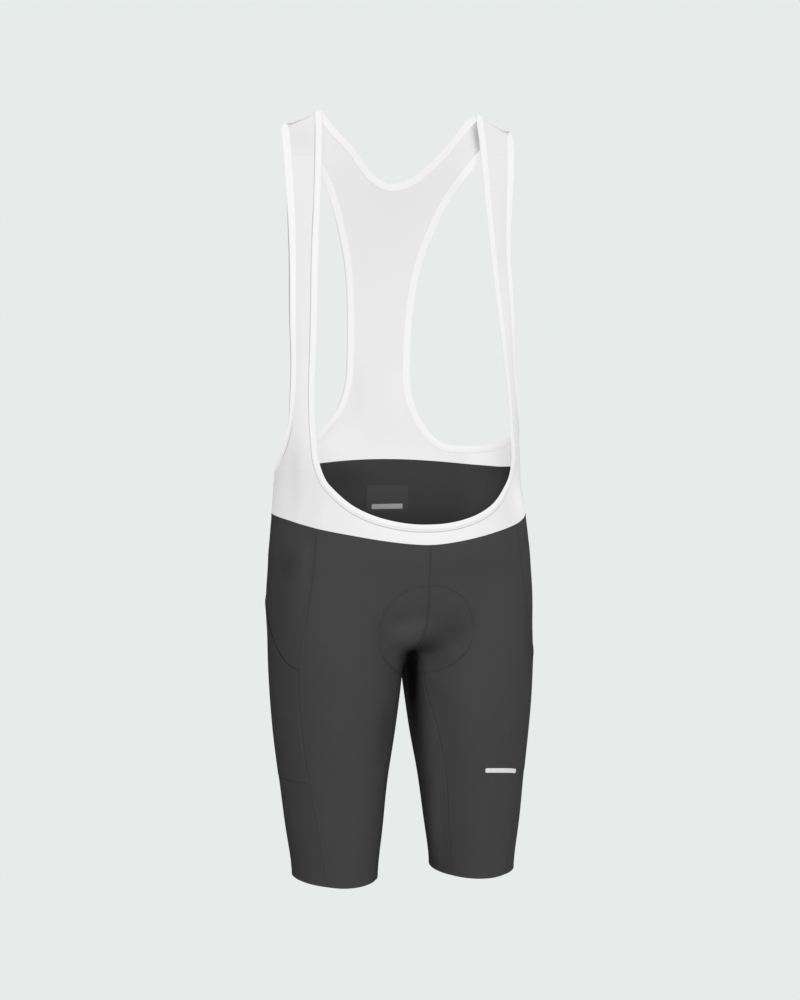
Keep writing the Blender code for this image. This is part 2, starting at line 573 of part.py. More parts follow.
def bib_grids(s, neck_line, arm_line, foot):
    """Grids of half the bib: the front with its strap, and the mesh back."""
    cells = STRAP_CELLS
    n = np.cumsum([0] + [steps for _, steps in NECK_STOPS])
    a = np.cumsum([0] + [steps for _, steps in ARMHOLE_STOPS])
    waist = chain(s["waist_front"], s["waist_side"])
    end_top = arm_line[0]
    end_line = chain(s["yoke_end"], np.array([s["yoke_end"][-1], end_top]))
    rungs = [
        rung(neck_line[n[0]], waist[0], cells), rung(neck_line[n[1]], waist[-1], cells),
        rung(neck_line[n[2]], end_top, cells), rung(neck_line[n[3]], arm_line[a[1]], cells),
        rung(neck_line[n[5]], arm_line[a[3]], cells),
    ]
    front = [
        patch(neck_line[n[0]:n[1] + 1], waist, rungs[0], rungs[1]),
        patch(neck_line[n[1]:n[2] + 1], end_line, rungs[1], rungs[2]),
        patch(neck_line[n[2]:n[3] + 1], arm_line[a[0]:a[1] + 1], rungs[2], rungs[3]),
    ]
    spine = rung(neck_line[n[6]], foot, SPINE_CELLS)
    fall = rung(foot, s["back_middle"][0], BAND_CELLS)
    spread = rung(arm_line[a[4]], s["back_middle"][-1], BAND_CELLS)
    level = rung(foot, arm_line[a[4]], len(s["back_middle"]) - 1)
    band_end = np.linspace(arm_line[a[5]], s["yoke_end"][-1], BAND_CELLS + 1)
    back = [
        patch(neck_line[n[3]:n[5] + 1], arm_line[a[1]:a[3] + 1], rungs[3], rungs[4]),
        patch(chain(neck_line[n[5]:n[6] + 1][::-1], rungs[4]), level, spine, arm_line[a[3]:a[4] + 1]),
        patch(level, s["back_middle"], fall, spread),
        patch(arm_line[a[4]:a[5] + 1], chain(s["back_side"], s["side_top"][::-1]), spread, band_end),
    ]
    return front, back


def pad_grid():
    """The seat pad's left half, from its front end under the crotch to its back end."""
    middle, = trace(PAD_MIDDLE, [(len(PAD_MIDDLE) - 1, PAD_STEPS)])
    edge, = trace(PAD_OUTLINE, [(len(PAD_OUTLINE) - 1, PAD_STEPS)])
    ends = [rung(middle[0], edge[0], PAD_CELLS), rung(middle[-1], edge[-1], PAD_CELLS)]
    return patch(middle, edge, ends[0], ends[1])


def pad_depth(grid):
    """Thickness of the pad at every point of its grid: thin at the outline, full along the middle."""
    rows, columns = grid.shape[:2]
    v = np.linspace(0.0, 1.0, rows)[:, None]
    u = np.linspace(0.0, 1.0, columns)[None, :]
    rise = blend((1.0 - v) / PAD_SIDE_BEVEL) * blend(np.minimum(u, 1.0 - u) / PAD_END_BEVEL)
    return PAD_EDGE + (PAD_CENTRE - PAD_EDGE) * rise


def pad_wall(grid):
    """The pad as a closed body inside the shorts, both halves in one."""
    depth = {}
    for points, amounts in ((grid, pad_depth(grid)), (mirrored(grid), pad_depth(grid)[:, ::-1])):
        for point, amount in zip(points.reshape(-1, 3), amounts.ravel()):
            depth[place(point)] = amount
    both = [faces_outward(grid), mirrored(faces_outward(grid))]
    flat, _ = weld(both)
    amounts = np.array([depth[place(point)] for point in flat])
    return wall(both, lambda _: -(PAD_CLEAR + amounts), -PAD_CLEAR, 0.0)


def both_sides(name, halves, low, high, edge_inset=SEAM_GAP / 2.0):
    """The left panel, and the right one drawn as a left one and mirrored."""
    left, right = ([faces_outward(grid) for grid in half[name]] for half in halves)
    right = [mirrored(grid) for grid in right]
    return {
        f"{name}_left": wall(left, low, high, edge_inset),
        f"{name}_right": wall(right, low, high, edge_inset),
    }


def whole(halves, low, high):
    """A panel that spans both halves: the wearer's left, and the right drawn as a left one."""
    left, right = ([faces_outward(grid) for grid in half] for half in halves)
    return wall(left + [mirrored(grid) for grid in right], low, high)


def tapes(lines):
    """The folded edge tapes around the armholes and around the neck opening."""
    low, high = -BINDING_SINK, BINDING_WALL - BINDING_SINK
    flip = np.array([-1.0, 1.0, 1.0])
    pieces, edges, nears = {}, [], []
    for side, (neck_edge, neck_line, arm_edge, arm_line, _) in zip(("left", "right"), lines):
        points, triangles = closed_tape(arm_edge[:-1], inner_side(arm_edge, arm_line)[:-1], low, high)
        if side == "right":
            points, triangles = points * flip, triangles[:, ::-1]
        pieces[f"armhole_binding_{side}"] = (points, triangles)
        edges.append(neck_edge)
        nears.append(inner_side(neck_edge, neck_line))
    outer, inner = (np.vstack([left, (right * flip)[1:-1][::-1]]) for left, right in (edges, nears))
    pieces["neck_binding"] = closed_tape(outer, inner, low, high)
    return pieces


def inner_side(edge, line):
    """The tape's edge beside the panel, a little short of the shared line."""
    across = edge - line
    return line + across / np.linalg.norm(across, axis=1)[:, None] * BINDING_GAP


def build_pieces():
    """Every sub-part as points and triangles."""
    drawn = [join_corners(seams(side)) for side in (0, 1)]
    lines = [bib_lines(s, side) for side, s in enumerate(drawn)]
    shorts = [shorts_grids(s) for s in drawn]
    pieces = {}
    for name in ("front_panel", "side_panel", "back_panel", "inner_leg_panel"):
        pieces.update(both_sides(name, shorts, 0.0, SHORTS_WALL))
    low = SHORTS_WALL + POCKET_LIFT
    pieces.update(both_sides("pocket", shorts, low, low + SHORTS_WALL, POCKET_EDGE))
    halves = [
        bib_grids(s, neck_line, arm_line, foot)
        for s, (_, neck_line, _, arm_line, foot) in zip(drawn, lines)
    ]
    fronts, backs = zip(*halves)
    pieces["bib_front"] = whole(fronts, 0.0, BIB_WALL)
    pieces["bib_back"] = whole(backs, 0.0, BIB_WALL)
    pieces.update(tapes(lines))
    pieces["seat_pad"] = pad_wall(pad_grid())
    return pieces


# Finish of each kind of cloth: colour and roughness.
FINISHES = {
    "shorts_knit": ((0.055, 0.055, 0.057, 1.0), 0.78),
    "pocket_knit": ((0.050, 0.050, 0.052, 1.0), 0.78),
    "inner_leg_knit": ((0.048, 0.048, 0.050, 1.0), 0.80),
    "bib_knit": ((0.86, 0.86, 0.87, 1.0), 0.75),
    "bib_mesh": ((0.80, 0.81, 0.81, 1.0), 0.80),
    "edge_tape": ((0.92, 0.92, 0.93, 1.0), 0.70),
    "pad_foam": ((0.16, 0.16, 0.18, 1.0), 0.90),
}
FINISH_OF = {
    "front_panel": "shorts_knit", "side_panel": "shorts_knit", "back_panel": "shorts_knit",
    "inner_leg_panel": "inner_leg_knit", "pocket": "pocket_knit", "bib_front": "bib_knit",
    "bib_back": "bib_mesh", "armhole_binding": "edge_tape", "neck_binding": "edge_tape",
    "seat_pad": "pad_foam",
}


def material_for(name):
    """A fresh material for one sub-part."""
    kind = FINISH_OF[name.removesuffix("_left").removesuffix("_right")]
    colour, roughness = FINISHES[kind]
    material = bpy.data.materials.new(f"{kind}_{name}")
    material.use_nodes = True
    shader = material.node_tree.nodes["Principled BSDF"]
    shader.inputs["Base Color"].default_value = colour
    shader.inputs["Roughness"].default_value = roughness
    material.diffuse_color = colour
    return material


def add_object(name, points, triangles):
    """One named mesh object, moved so that the wearing point is the origin."""
    mesh = bpy.data.meshes.new(name)
    mesh.from_pydata((points - WEAR_POINT).tolist(), [], triangles.tolist())
    mesh.validate()
    mesh.materials.append(material_for(name))
    bpy.context.scene.collection.objects.link(bpy.data.objects.new(name, mesh))


def main():
    """Clear the scene and build every sub-part."""
    for item in list(bpy.data.objects):
        bpy.data.objects.remove(item, do_unlink=True)
    for name, (points, triangles) in build_pieces().items():
        add_object(name, points, triangles)


main()
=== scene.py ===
"""Dresses the cycling bib shorts: knit panels, net back, edge tapes, seam threads, pocket and seat pad.

Lengths are metres unless a table says millimetres. +Z is up, the wearer looks along -Y and +X is the
wearer's left. Every cloth piece is a thin closed wall on grids of two parameters, worked out as whole
arrays on the same guide form and from the same seam tables as the solids, only finer.
"""

import json
import logging
import math
from dataclasses import dataclass, field, replace
from enum import Enum
from typing import Callable, Sequence

import bpy
import numpy as np
from bpy.types import Material, Node, NodeSocket, NodeTree, Object
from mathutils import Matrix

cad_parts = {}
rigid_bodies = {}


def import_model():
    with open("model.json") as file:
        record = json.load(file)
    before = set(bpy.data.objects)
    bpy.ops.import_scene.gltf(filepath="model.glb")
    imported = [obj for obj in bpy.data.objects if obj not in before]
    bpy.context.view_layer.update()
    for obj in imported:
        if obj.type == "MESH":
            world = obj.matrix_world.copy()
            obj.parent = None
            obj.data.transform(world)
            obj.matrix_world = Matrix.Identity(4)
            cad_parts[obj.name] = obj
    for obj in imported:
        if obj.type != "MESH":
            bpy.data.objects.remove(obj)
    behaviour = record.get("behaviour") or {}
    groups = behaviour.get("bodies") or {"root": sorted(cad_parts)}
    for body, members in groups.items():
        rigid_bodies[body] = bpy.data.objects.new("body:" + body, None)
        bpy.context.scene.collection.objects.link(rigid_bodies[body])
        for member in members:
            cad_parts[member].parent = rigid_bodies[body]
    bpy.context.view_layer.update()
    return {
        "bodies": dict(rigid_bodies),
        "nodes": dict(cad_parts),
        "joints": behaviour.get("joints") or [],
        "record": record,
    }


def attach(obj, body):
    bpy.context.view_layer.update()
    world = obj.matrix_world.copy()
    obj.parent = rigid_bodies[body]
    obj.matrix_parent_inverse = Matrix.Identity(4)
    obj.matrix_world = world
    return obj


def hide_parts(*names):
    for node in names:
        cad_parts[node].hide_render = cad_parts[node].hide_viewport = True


log = logging.getLogger("bib_shorts")
Array = np.ndarray
Pair = tuple[float, float]
Triple = tuple[float, float, float]
Table = Sequence[Sequence[float]]
Field = Callable[[Array], Array]                 # a value at each of many points
MM = 0.001
WEAR_POINT = np.array([0.0, 15.5, -11.0]) * MM   # the tables' place of the model's origin
MIRROR = np.array([-1.0, 1.0, 1.0])
WELD_STEP = 0.01 * MM
SAMPLES = 60                                     # points for each table row before a line is stepped evenly
LEAST_SLOPE = 0.2                                # the least that a Newton step takes the slope's square to be
MARGINS = (0.05, 0.6)                            # the least and the most of a cell that a margin takes
TORSO_MIDDLE = 20.0 * MM                         # y round which the bib's flat places are measured
TORSO_RADIUS = 125.0 * MM
TORSO_OVAL = 12.5 * MM                           # how much the oval torso adds to the way round, and takes
ON_MIDDLE = np.array([0.0, 1.0, 1.0])            # what lays a point on the middle plane
UP = np.array([0.0, 0.0, 1.0])
# The shadow mark is painted shade, and painted light where it is below 0.
MARKS = {"seam": 0.0, "side": 1.0, "shadow": 0.0}   # the marks on a cloth mesh and their plain values

# Torso sections in mm: height, half width, y of the widest line, y of the front, y of the back, roundness.
TORSO = (
    (-20, 172, 15, 6, 23, 2), (-57, 172, 15, -1, 27, 2), (-108, 165, 26, -12, 53, 2),
    (-167, 158, 33, -26, 74, 2), (-227, 155, 27, -40, 89, 2), (-300, 147.5, 20, -65, 98.5, 2),
    (-340, 149, 19, -75, 102, 2), (-380, 150, 19, -86, 105, 2), (-418, 150.5, 20, -101, 106, 2),
    (-450, 152.5, 20.5, -101, 104.5, 2), (-483, 156.5, 16.5, -103.5, 105, 2),
    (-515, 160, 13.5, -104.5, 109, 2), (-550, 160.5, 11, -101, 116, 2.1), (-580, 159.5, 10, -98, 120, 2.1),
    (-600, 156, 8.5, -92, 118, 2.1), (-620, 149, 6, -79, 110, 2), (-636, 135, 6, -56, 94, 2),
    (-650, 110, 8, -15, 60, 2),
)
# Leg sections in mm: height, x of the middle, half width, y of the middle, the front and the back, roundness.
LEG = (
    (-540, 76, 70, 8, -70, 85, 2), (-590, 79.5, 77.6, 7, -86, 106, 2), (-620, 82, 78.7, 6.5, -90, 110, 2),
    (-650, 84, 77.7, 6, -90, 106, 2), (-680, 84.8, 76.2, 5.5, -88, 99.5, 2),
    (-706.5, 85.6, 74.3, 5, -85, 93.5, 2), (-750, 86.6, 70, 4.5, -78, 85, 2),
    (-800, 87.8, 63.3, 2, -71, 73, 2), (-860, 88, 56.5, -2, -66, 62, 2),
    (-900, 87.6, 51, -3.5, -62.5, 56, 2), (-935, 87.4, 48.6, -3.5, -59.5, 54, 2),
)
# Seams and edges of the wearer's left half, each a table of x, y, z in millimetres.
CENTRE_FRONT = (
    (0, -104.5, -511.8), (0, -103, -530), (0, -100.5, -555), (0, -98, -580), (0, -94, -596), (0, -82, -617),
    (0, -67, -630.5), (0, -50, -639), (0, -34, -645),
)
CROTCH = (
    (0, -34, -645), (0, -5, -652), (0, 22, -653), (0, 48, -650),
)
CENTRE_BACK = (
    (0, 106, -422.3), (0, 104.5, -450), (0, 106, -490), (0, 115, -545), (0, 120, -580), (0, 113, -612),
    (0, 90, -636), (0, 68, -646), (0, 48, -650),
)
INNER_FRONT = (
    (0, -34, -645), (7.5, -33, -656), (13.3, -32.4, -664.5), (17.1, -37.7, -691), (25.8, -45.8, -729),
    (33.9, -48.1, -765), (40, -47, -801), (44.3, -43.9, -851), (48, -41.5, -895), (49.2, -41.1, -918),
)
INNER_BACK = (
    (0, 48, -650), (8, 47, -660), (14.5, 46.5, -672), (20, 49, -697), (27.5, 52, -730), (36, 50, -770),
    (41.5, 46, -805), (46.5, 40, -855), (50.5, 35.5, -912.5),
)
SIDE_FRONT = (
    (126.5, -59.6, -492.8), (129.5, -61.5, -530), (132.4, -61.5, -561), (138.4, -60, -602),
    (144.5, -53.5, -640), (145.6, -52.6, -659.5), (144.5, -51.5, -699), (140.8, -51, -734),
    (134.7, -50.4, -779), (132.3, -50.7, -794.5), (124.5, -52.7, -839), (117.5, -53.5, -881),
    (111.4, -53.5, -918.6),
)
SIDE_BACK = (
    (134.6, 62.9, -430.5), (131.5, 67, -468), (130, 69.6, -485), (131, 76, -535), (133.5, 79, -573),
    (139, 75, -620), (140.5, 66, -680), (136, 57, -740), (129.5, 50, -794.5), (122, 44, -855),
    (116, 40, -914),
)
WAIST = (
    (0, -104.5, -511.8), (21, -103.3, -510.6), (43, -100.1, -508), (66, -93.5, -504.5), (88, -84.5, -500.5),
    (108, -74, -496.8), (126.5, -59.6, -492.8), (140.5, -43.5, -488.8), (150, -26, -485.3),
    (155.3, -5, -483), (155.5, 16, -481.3), (154, 30, -480.5),
)
YOKE_END = (
    (154, 30, -480.5), (151.5, 30.5, -459), (150, 31, -438),
)
SIDE_LEVEL = (
    (154, 30, -480.5), (144, 53, -482), (130, 69.6, -485),
)
SIDE_TOP = (
    (150, 31, -438), (143.5, 50, -433), (134.6, 62.9, -430.5),
)
BACK_TOP = (
    (0, 106, -422.3), (35, 102, -423), (70, 97, -425.2), (98, 88.5, -427.6), (118, 77, -429.4),
    (134.6, 62.9, -430.5),
)
POCKET_OPENING = (
    (145.6, -52.6, -659.5), (154.3, -34.9, -652.7), (160.2, -17.5, -640), (163.8, 3, -622.5),
    (163, 22, -602.5), (153.5, 52, -582), (133.5, 79, -573),
)
POCKET_BOTTOM = (
    (132.3, -50.7, -794.5), (140.5, -39, -795), (147.7, -22.3, -795.5), (151.5, 0, -795.3), (148, 25, -795),
    (129.5, 50, -794.5),
)
HEM_FRONT = (
    (49.2, -41.1, -918), (60, -52.5, -919.5), (74.8, -61, -920.5), (93, -62.5, -920.5),
    (111.4, -53.5, -918.6),
)
HEM_SIDE = (
    (111.4, -53.5, -918.6), (128, -34, -916.8), (136.3, -3.5, -915), (130, 26, -914.2), (116, 40, -914),
)
HEM_BACK = (
    (116, 40, -914), (99, 51, -913), (80, 52.5, -912.5), (63, 46.5, -912.3), (50.5, 35.5, -912.5),
)
HEM_INNER = (
    (49.2, -41.1, -918), (40.5, -22, -916.5), (38.3, -2, -915), (42, 19, -913.5), (50.5, 35.5, -912.5),
)
# The neck opening's edge: up from the middle of the scoop, over the shoulder, to the middle of the neckline.
# A stop is the table row where a stretch ends, and the number of the solids' cells up to there.
NECK = (
    (0, -104.5, -488), (20, -103.5, -487.2), (44.3, -99.7, -483.3), (66, -93, -476.8), (87, -82.5, -466),
    (105, -69.5, -449.5), (113.5, -62, -438.5), (119.6, -56, -421.5), (122, -48, -390), (119.5, -37, -340),
    (114.5, -28, -280), (111, -19.6, -227), (107, -10, -167), (102.7, -4, -108), (99.6, 2, -57),
    (97.2, 8, -20), (95.3, 13.8, -3), (90, 18, -11), (80, 21, -25), (67, 23.5, -39.5), (52, 28, -55),
    (36, 35, -72), (20, 42, -84.5), (0, 46, -90.5),
)
NECK_STOPS = ((6, 14), (7, 6), (14, 26), (16, 6), (21, 11), (23, 3))
# The armhole's edge: from its lowest point up the front strap, over the shoulder and down the back.
ARMHOLE = (
    (149.5, 31, -419), (148, 18, -413.5), (144.8, 2, -398), (143.6, -7, -375), (142.3, -8.5, -335),
    (141.3, -5, -280), (141, -1, -227), (140.6, 4, -167), (142, 6.5, -108), (144.8, 8.5, -57),
    (145.6, 12, -33), (145, 17, -19), (138, 21, -27.5), (124, 24.5, -41), (106, 29.5, -60),
    (89.5, 37, -82.5), (76.5, 47.5, -105), (63.5, 60, -138), (54, 71.5, -167), (46.5, 81, -203),
    (42.5, 88.5, -245), (41.5, 95, -290), (43.5, 101, -335), (52, 103, -361.5), (69, 99, -388),
    (84, 94, -403.5), (103, 86, -411.5), (124, 71, -414.5), (141, 50.5, -417.5),
)
ARMHOLE_STOPS = ((9, 26), (11, 6), (16, 11), (24, 20), (29, 7))
# The names of each curve's stretches, its table, and the stops where it is cut.
SEAMS = {
    "centre_front": (CENTRE_FRONT, (8, 10)),
    "crotch": (CROTCH, (3, 5)),
    "centre_back": (CENTRE_BACK, (8, 15)),
    "inner_front": (INNER_FRONT, (9, 18)),
    "inner_back": (INNER_BACK, (8, 18)),
    "front_upper front_pocket front_lower": (SIDE_FRONT, (5, 10), (9, 10), (12, 8)),
    "back_rise back_upper back_pocket back_lower": (SIDE_BACK, (2, 5), (4, 10), (8, 10), (10, 8)),
    "waist_front waist_side": (WAIST, (6, 8), (11, 6)),
    "yoke_end": (YOKE_END, (2, 5)),
    "side_level": (SIDE_LEVEL, (2, 3)),
    "side_top": (SIDE_TOP, (2, 3)),
    "back_middle back_side": (BACK_TOP, (2, 7), (5, 4)),
    "opening": (POCKET_OPENING, (6, 9)),
    "bottom": (POCKET_BOTTOM, (5, 9)),
    "hem_front": (HEM_FRONT, (4, 8)),
    "hem_side": (HEM_SIDE, (4, 9)),
    "hem_back": (HEM_BACK, (4, 11)),
    "hem_inner": (HEM_INNER, (4, 5)),
}
CROSSING = (WAIST, BACK_TOP)                     # the curves that run on across the middle from their start
# Rises in mm of single rows on the wearer's left and right: the worn bib hangs a little uneven.
RISES = {
    "yoke_end": {1: (4, -3), 2: (8, -6)},
    "side_top": {0: (8, -6), 1: (2, -5)},
    "neck": {
        17: (3.5, 2.5), 18: (5.5, 5), 19: (3, 7.5), 20: (1, 9), 21: (2, 8), 22: (3.5, 6.5), 23: (5.5, 5.5),
    },
    "armhole": {
        0: (26, -9), 1: (22, -6), 2: (15, -3), 3: (7, -1), 10: (-6, -2), 11: (-8, -4.5), 12: (-5.5, -3),
        22: (0, 8), 23: (-1, 8), 24: (-3.5, 11), 25: (0, 10), 26: (5.5, 6), 27: (9, 2), 28: (16.5, -4),
    },
}
SPINE_FOOT = (0, 105, -391)                      # where the net back's spine meets its band, in mm
# The seat pad lies between its middle line and its stitched outline, both from front to back.
PAD_MIDDLE = (
    (0, -101, -560), (0, -98, -585), (0, -82, -617), (0, -50, -639), (0, -15, -651), (0, 25, -653),
    (0, 62, -647), (0, 90, -636), (0, 113, -612), (0, 119, -585),
)
PAD_OUTLINE = (
    (20, -99.3, -561.5), (44, -95, -577), (58, -89.5, -607), (54, -82, -640), (33, -66, -662),
    (16, -30, -672), (17, 30, -676), (40, 72, -672), (62, 97, -650), (64, 112, -618), (36, 118.5, -587),
)


def blend(values: Array) -> Array:
    """Smooth step: 0 below 0, 1 above 1, and 3t^2 - 2t^3 between."""
    t = np.clip(values, 0.0, 1.0)
    return t * t * (3.0 - 2.0 * t)


def hermite(keys: Array, rows: Array, at: Array) -> Array:
    """Smooth curve through table rows.

    Formula: on each span, the cubic with the rows as its ends and slopes that are the neighbours' mean.

    Args:
        keys: rising place of each row along the curve.
        rows: table rows, one for each key.
        at: places to read.

    Returns:
        One row for each place.
    """
    at = np.clip(at, keys[0], keys[-1])
    step = np.diff(keys)[:, None]
    slope = np.diff(rows, axis=0) / step
    lean = np.empty_like(rows)
    lean[0], lean[-1] = slope[0], slope[-1]
    lean[1:-1] = (slope[:-1] * step[1:] + slope[1:] * step[:-1]) / (step[1:] + step[:-1])
    i = np.clip(np.searchsorted(keys, at, side="right") - 1, 0, len(keys) - 2)
    h = (keys[i + 1] - keys[i])[..., None]
    t = (at - keys[i])[..., None] / h
    first = (1.0 + 2.0 * t) * (1.0 - t) ** 2 * rows[i] + t * (1.0 - t) ** 2 * h * lean[i]
    return first + t * t * (3.0 - 2.0 * t) * rows[i + 1] - t * t * (1.0 - t) * h * lean[i + 1]


def unit(vectors: Array) -> Array:
    """Vectors scaled to length 1."""
    return vectors / np.maximum(np.linalg.norm(vectors, axis=-1, keepdims=True), 1e-12)


def lengths(points: Array, axis: int = 0) -> Array:
    """Running length along one axis of a line or grid, starting at 0."""
    steps = np.linalg.norm(np.diff(points, axis=axis), axis=-1)
    pad = [(0, 0)] * steps.ndim
    pad[axis] = (1, 0)
    return np.pad(np.cumsum(steps, axis=axis), pad)


def bell(distance: Array, width: float) -> Array:
    """Soft bump exp(-(distance / width)^2): 1 at no distance, and nearly 0 past twice the width."""
    return np.exp(-(distance / width) ** 2)


def between(at: Array, keys: Array, rows: Array) -> Array:
    """Rows at places among rising keys, by linear interpolation."""
    return np.stack([np.interp(at, keys, column) for column in rows.T], axis=-1)


def evenly(points: Array, count: int) -> Array:
    """The same line in count equal steps of its running length."""
    run = lengths(points)
    return between(np.linspace(0.0, run[-1], count + 1), run, points)


def finer(line: Array, parts: int = 4) -> Array:
    """The same line with every step split into equal parts."""
    last = len(line) - 1
    return between(np.linspace(0.0, last, last * parts + 1), np.arange(last + 1), line)


def chain(*lines: Array) -> Array:
    """Lines joined end to end, with each shared point kept once."""
    return np.vstack([lines[0]] + [line[1:] for line in lines[1:]])


def closed(loop: Array) -> Array:
    """A loop with its first point repeated at its end."""
    return np.vstack([loop, loop[:1]])


def nearest(points: Array, targets: Array, chunk: int = 4096) -> Array:
    """Distance from each point to the closest target.

    Formula: the square of a difference is the two squares less twice the product, taken block by block.

    Args:
        points: N points.
        targets: M points.
        chunk: points handled at once.

    Returns:
        N distances.
    """
    far = []
    for start in range(0, len(points), chunk):
        part = points[start:start + chunk]
        square = (part ** 2).sum(1)[:, None] + (targets ** 2).sum(1)[None] - 2.0 * part @ targets.T
        far.append(np.sqrt(np.maximum(square.min(axis=1), 0.0)))
    return np.concatenate(far)


@dataclass(frozen=True)
class Figure:
    """The guide form that the cloth lies on: elliptical torso sections joined softly to two legs.

    Attributes:
        join: softness of the join of torso and leg at the front and the side.
        join_back: the same under the seat.
        back_depth: how far behind the middle that softness is reached.
        floor: softness of the torso's lower end.
        midline: softness of the crease between the legs.
        grip_top: above this height the straps hang free.
        grip_full: below this height the cloth lies on the form.
    """

    join: float = 22.0 * MM
    join_back: float = 38.0 * MM
    back_depth: float = 140.0 * MM
    floor: float = 12.0 * MM
    midline: float = 7.0 * MM
    grip_top: float = -60.0 * MM
    grip_full: float = -130.0 * MM

    @staticmethod
    def _section(table: Table, z: Array) -> list[Array]:
        """The columns of a section table, read at the heights z, in metres but for the roundness."""
        rows = np.array(table) * np.r_[[MM] * (len(table[0]) - 1), 1.0]
        return list(np.moveaxis(hermite(-rows[:, 0], rows[:, 1:], -z), -1, 0))

    @staticmethod
    def _ring(x: Array, y: Array, half: Array, front: Array, back: Array, power: Array) -> Array:
        """Distance from a section's outline along the line to its middle, negative inside."""
        depth = np.where(y < 0.0, front, back)
        reach = (np.abs(x / half) ** power + np.abs(y / depth) ** power) ** (1.0 / power)
        return np.hypot(x, y) * (1.0 - 1.0 / np.maximum(reach, 1e-6))

    def distance(self, points: Array) -> Array:
        """Distance from the form's skin, negative inside.

        Formula: the softer of two minima, torso against leg, each a ring distance at the point's height.
        """
        x, y, z = np.moveaxis(points, -1, 0)
        half, middle, front, back, power = self._section(TORSO, z)
        torso = self._ring(x, y - middle, half, middle - front, back - middle, power)
        below = TORSO[-1][0] * MM - z
        soft = np.maximum(self.floor - np.abs(torso - below), 0.0) / self.floor
        torso = np.maximum(torso, below) + soft * soft * self.floor / 4.0
        leg_x, half, middle, front, back, power = self._section(LEG, z)
        side = np.sqrt(x * x + self.midline ** 2) - leg_x
        leg = self._ring(side, y - middle, half, middle - front, back - middle, power)
        leg = np.maximum(leg, z - LEG[0][0] * MM)
        radius = self.join + (self.join_back - self.join) * blend(y / self.back_depth)
        soft = np.maximum(radius - np.abs(torso - leg), 0.0) / radius
        return np.minimum(torso, leg) - soft * soft * radius / 4.0

    def slope(self, points: Array, step: float = 0.2 * MM) -> Array:
        """Slope of the distance, which points away from the skin, from differences over a step."""
        sides = [self.distance(points + step * axis) - self.distance(points - step * axis)
                 for axis in np.eye(3)]
        return np.stack(sides, axis=-1) / (2.0 * step)

    def grip(self, points: Array) -> Array:
        """1 where the cloth lies on the form, 0 where the straps hang free."""
        return blend((self.grip_top - points[..., 2]) / (self.grip_top - self.grip_full))[..., None]

    def settle(self, points: Array, rounds: int = 6) -> Array:
        """Points moved onto the skin, as far as the cloth lies on it.

        Formula: Newton steps along the slope, then a blend of the old and new place by the grip.
        """
        laid = np.array(points, float)
        for _ in range(rounds):
            slope = self.slope(laid)
            square = np.maximum((slope * slope).sum(-1), LEAST_SLOPE)
            laid = laid - (self.distance(laid) / square)[..., None] * slope
        laid = np.where(np.abs(points[..., :1]) < 1e-9, laid * ON_MIDDLE, laid)
        return points + self.grip(points) * (laid - points)


@dataclass
class Patch:
    """A four-sided grid of cloth with the place of each point on the flat cloth.

    Attributes:
        grid: rows by columns of points.
        chart: rows by columns of flat places in metres, across and along the cloth.
    """

    grid: Array
    chart: Array

    @classmethod
    def flat_by_length(cls, grid: Array) -> "Patch":
        """A patch whose flat places are running lengths across its rows, from the middle, and down it."""
        across = lengths(grid, axis=1)
        across = across - across[:, across.shape[1] // 2][:, None]
        return cls(grid, np.stack([across, lengths(grid, axis=0)], axis=-1))

    @classmethod
    def flat_by_wrap(cls, grid: Array) -> "Patch":
        """A patch whose flat places are the way round the torso and the height.

        Formula: with t the bearing round the torso's middle, the way round is radius t + oval sin 2t.
        """
        bearing = np.arctan2(grid[..., 0], TORSO_MIDDLE - grid[..., 1])
        around = TORSO_RADIUS * bearing + TORSO_OVAL * np.sin(2.0 * bearing)
        return cls(grid, np.stack([around, grid[..., 2]], axis=-1))

    def mirrored(self) -> "Patch":
        """The other side's patch, with its faces still looking outward."""
        flip = np.array([-1.0, 1.0])
        return Patch((self.grid * MIRROR)[:, ::-1], (self.chart * flip)[:, ::-1])

    def turned(self, figure: Figure) -> "Patch":
        """The patch with its columns ordered so that its faces look away from the form."""
        normal = np.cross(self.grid[1:, 1:] - self.grid[:-1, :-1], self.grid[:-1, 1:] - self.grid[1:, :-1])
        middle = (self.grid[1:, 1:] + self.grid[:-1, :-1]) / 2.0
        held = middle[..., 2] < figure.grip_full
        if not held.any():
            held = np.ones(held.shape, bool)
        agree = (normal * figure.slope(middle)).sum(-1)[held].sum()
        return self if agree > 0.0 else Patch(self.grid[:, ::-1], self.chart[:, ::-1])


def relaxed(grid: Array, rounds: int = 14) -> Array:
    """A grid with its inside evened: each round moves a point to the mean of its four neighbours."""
    grid = grid.copy()
    for _ in range(rounds):
        around = grid[2:, 1:-1] + grid[:-2, 1:-1] + grid[1:-1, 2:] + grid[1:-1, :-2]
        grid[1:-1, 1:-1] = 0.5 * grid[1:-1, 1:-1] + 0.125 * around
    return grid


def margined(grid: Array, sides: str, amount: float = 0.7 * MM) -> Array:
    """A grid with one more row or column close beside each named side.

    Args:
        grid: the points.
        sides: letters among t, b, l and r, for top, bottom, left and right.
        amount: distance of the new line from the side.

    Returns:
        The finer grid.
    """
    for side in sides:
        turned = np.moveaxis(grid, 1, 0) if side in "lr" else grid
        turned = turned[::-1] if side in "br" else turned
        way = turned[1] - turned[0]
        share = np.clip(amount / np.maximum(np.linalg.norm(way, axis=-1), 1e-9), *MARGINS)[:, None]
        turned = np.concatenate([turned[:1], (turned[0] + share * way)[None], turned[1:]])
        turned = turned[::-1] if side in "br" else turned
        grid = np.moveaxis(turned, 0, 1) if side in "lr" else turned
    return grid


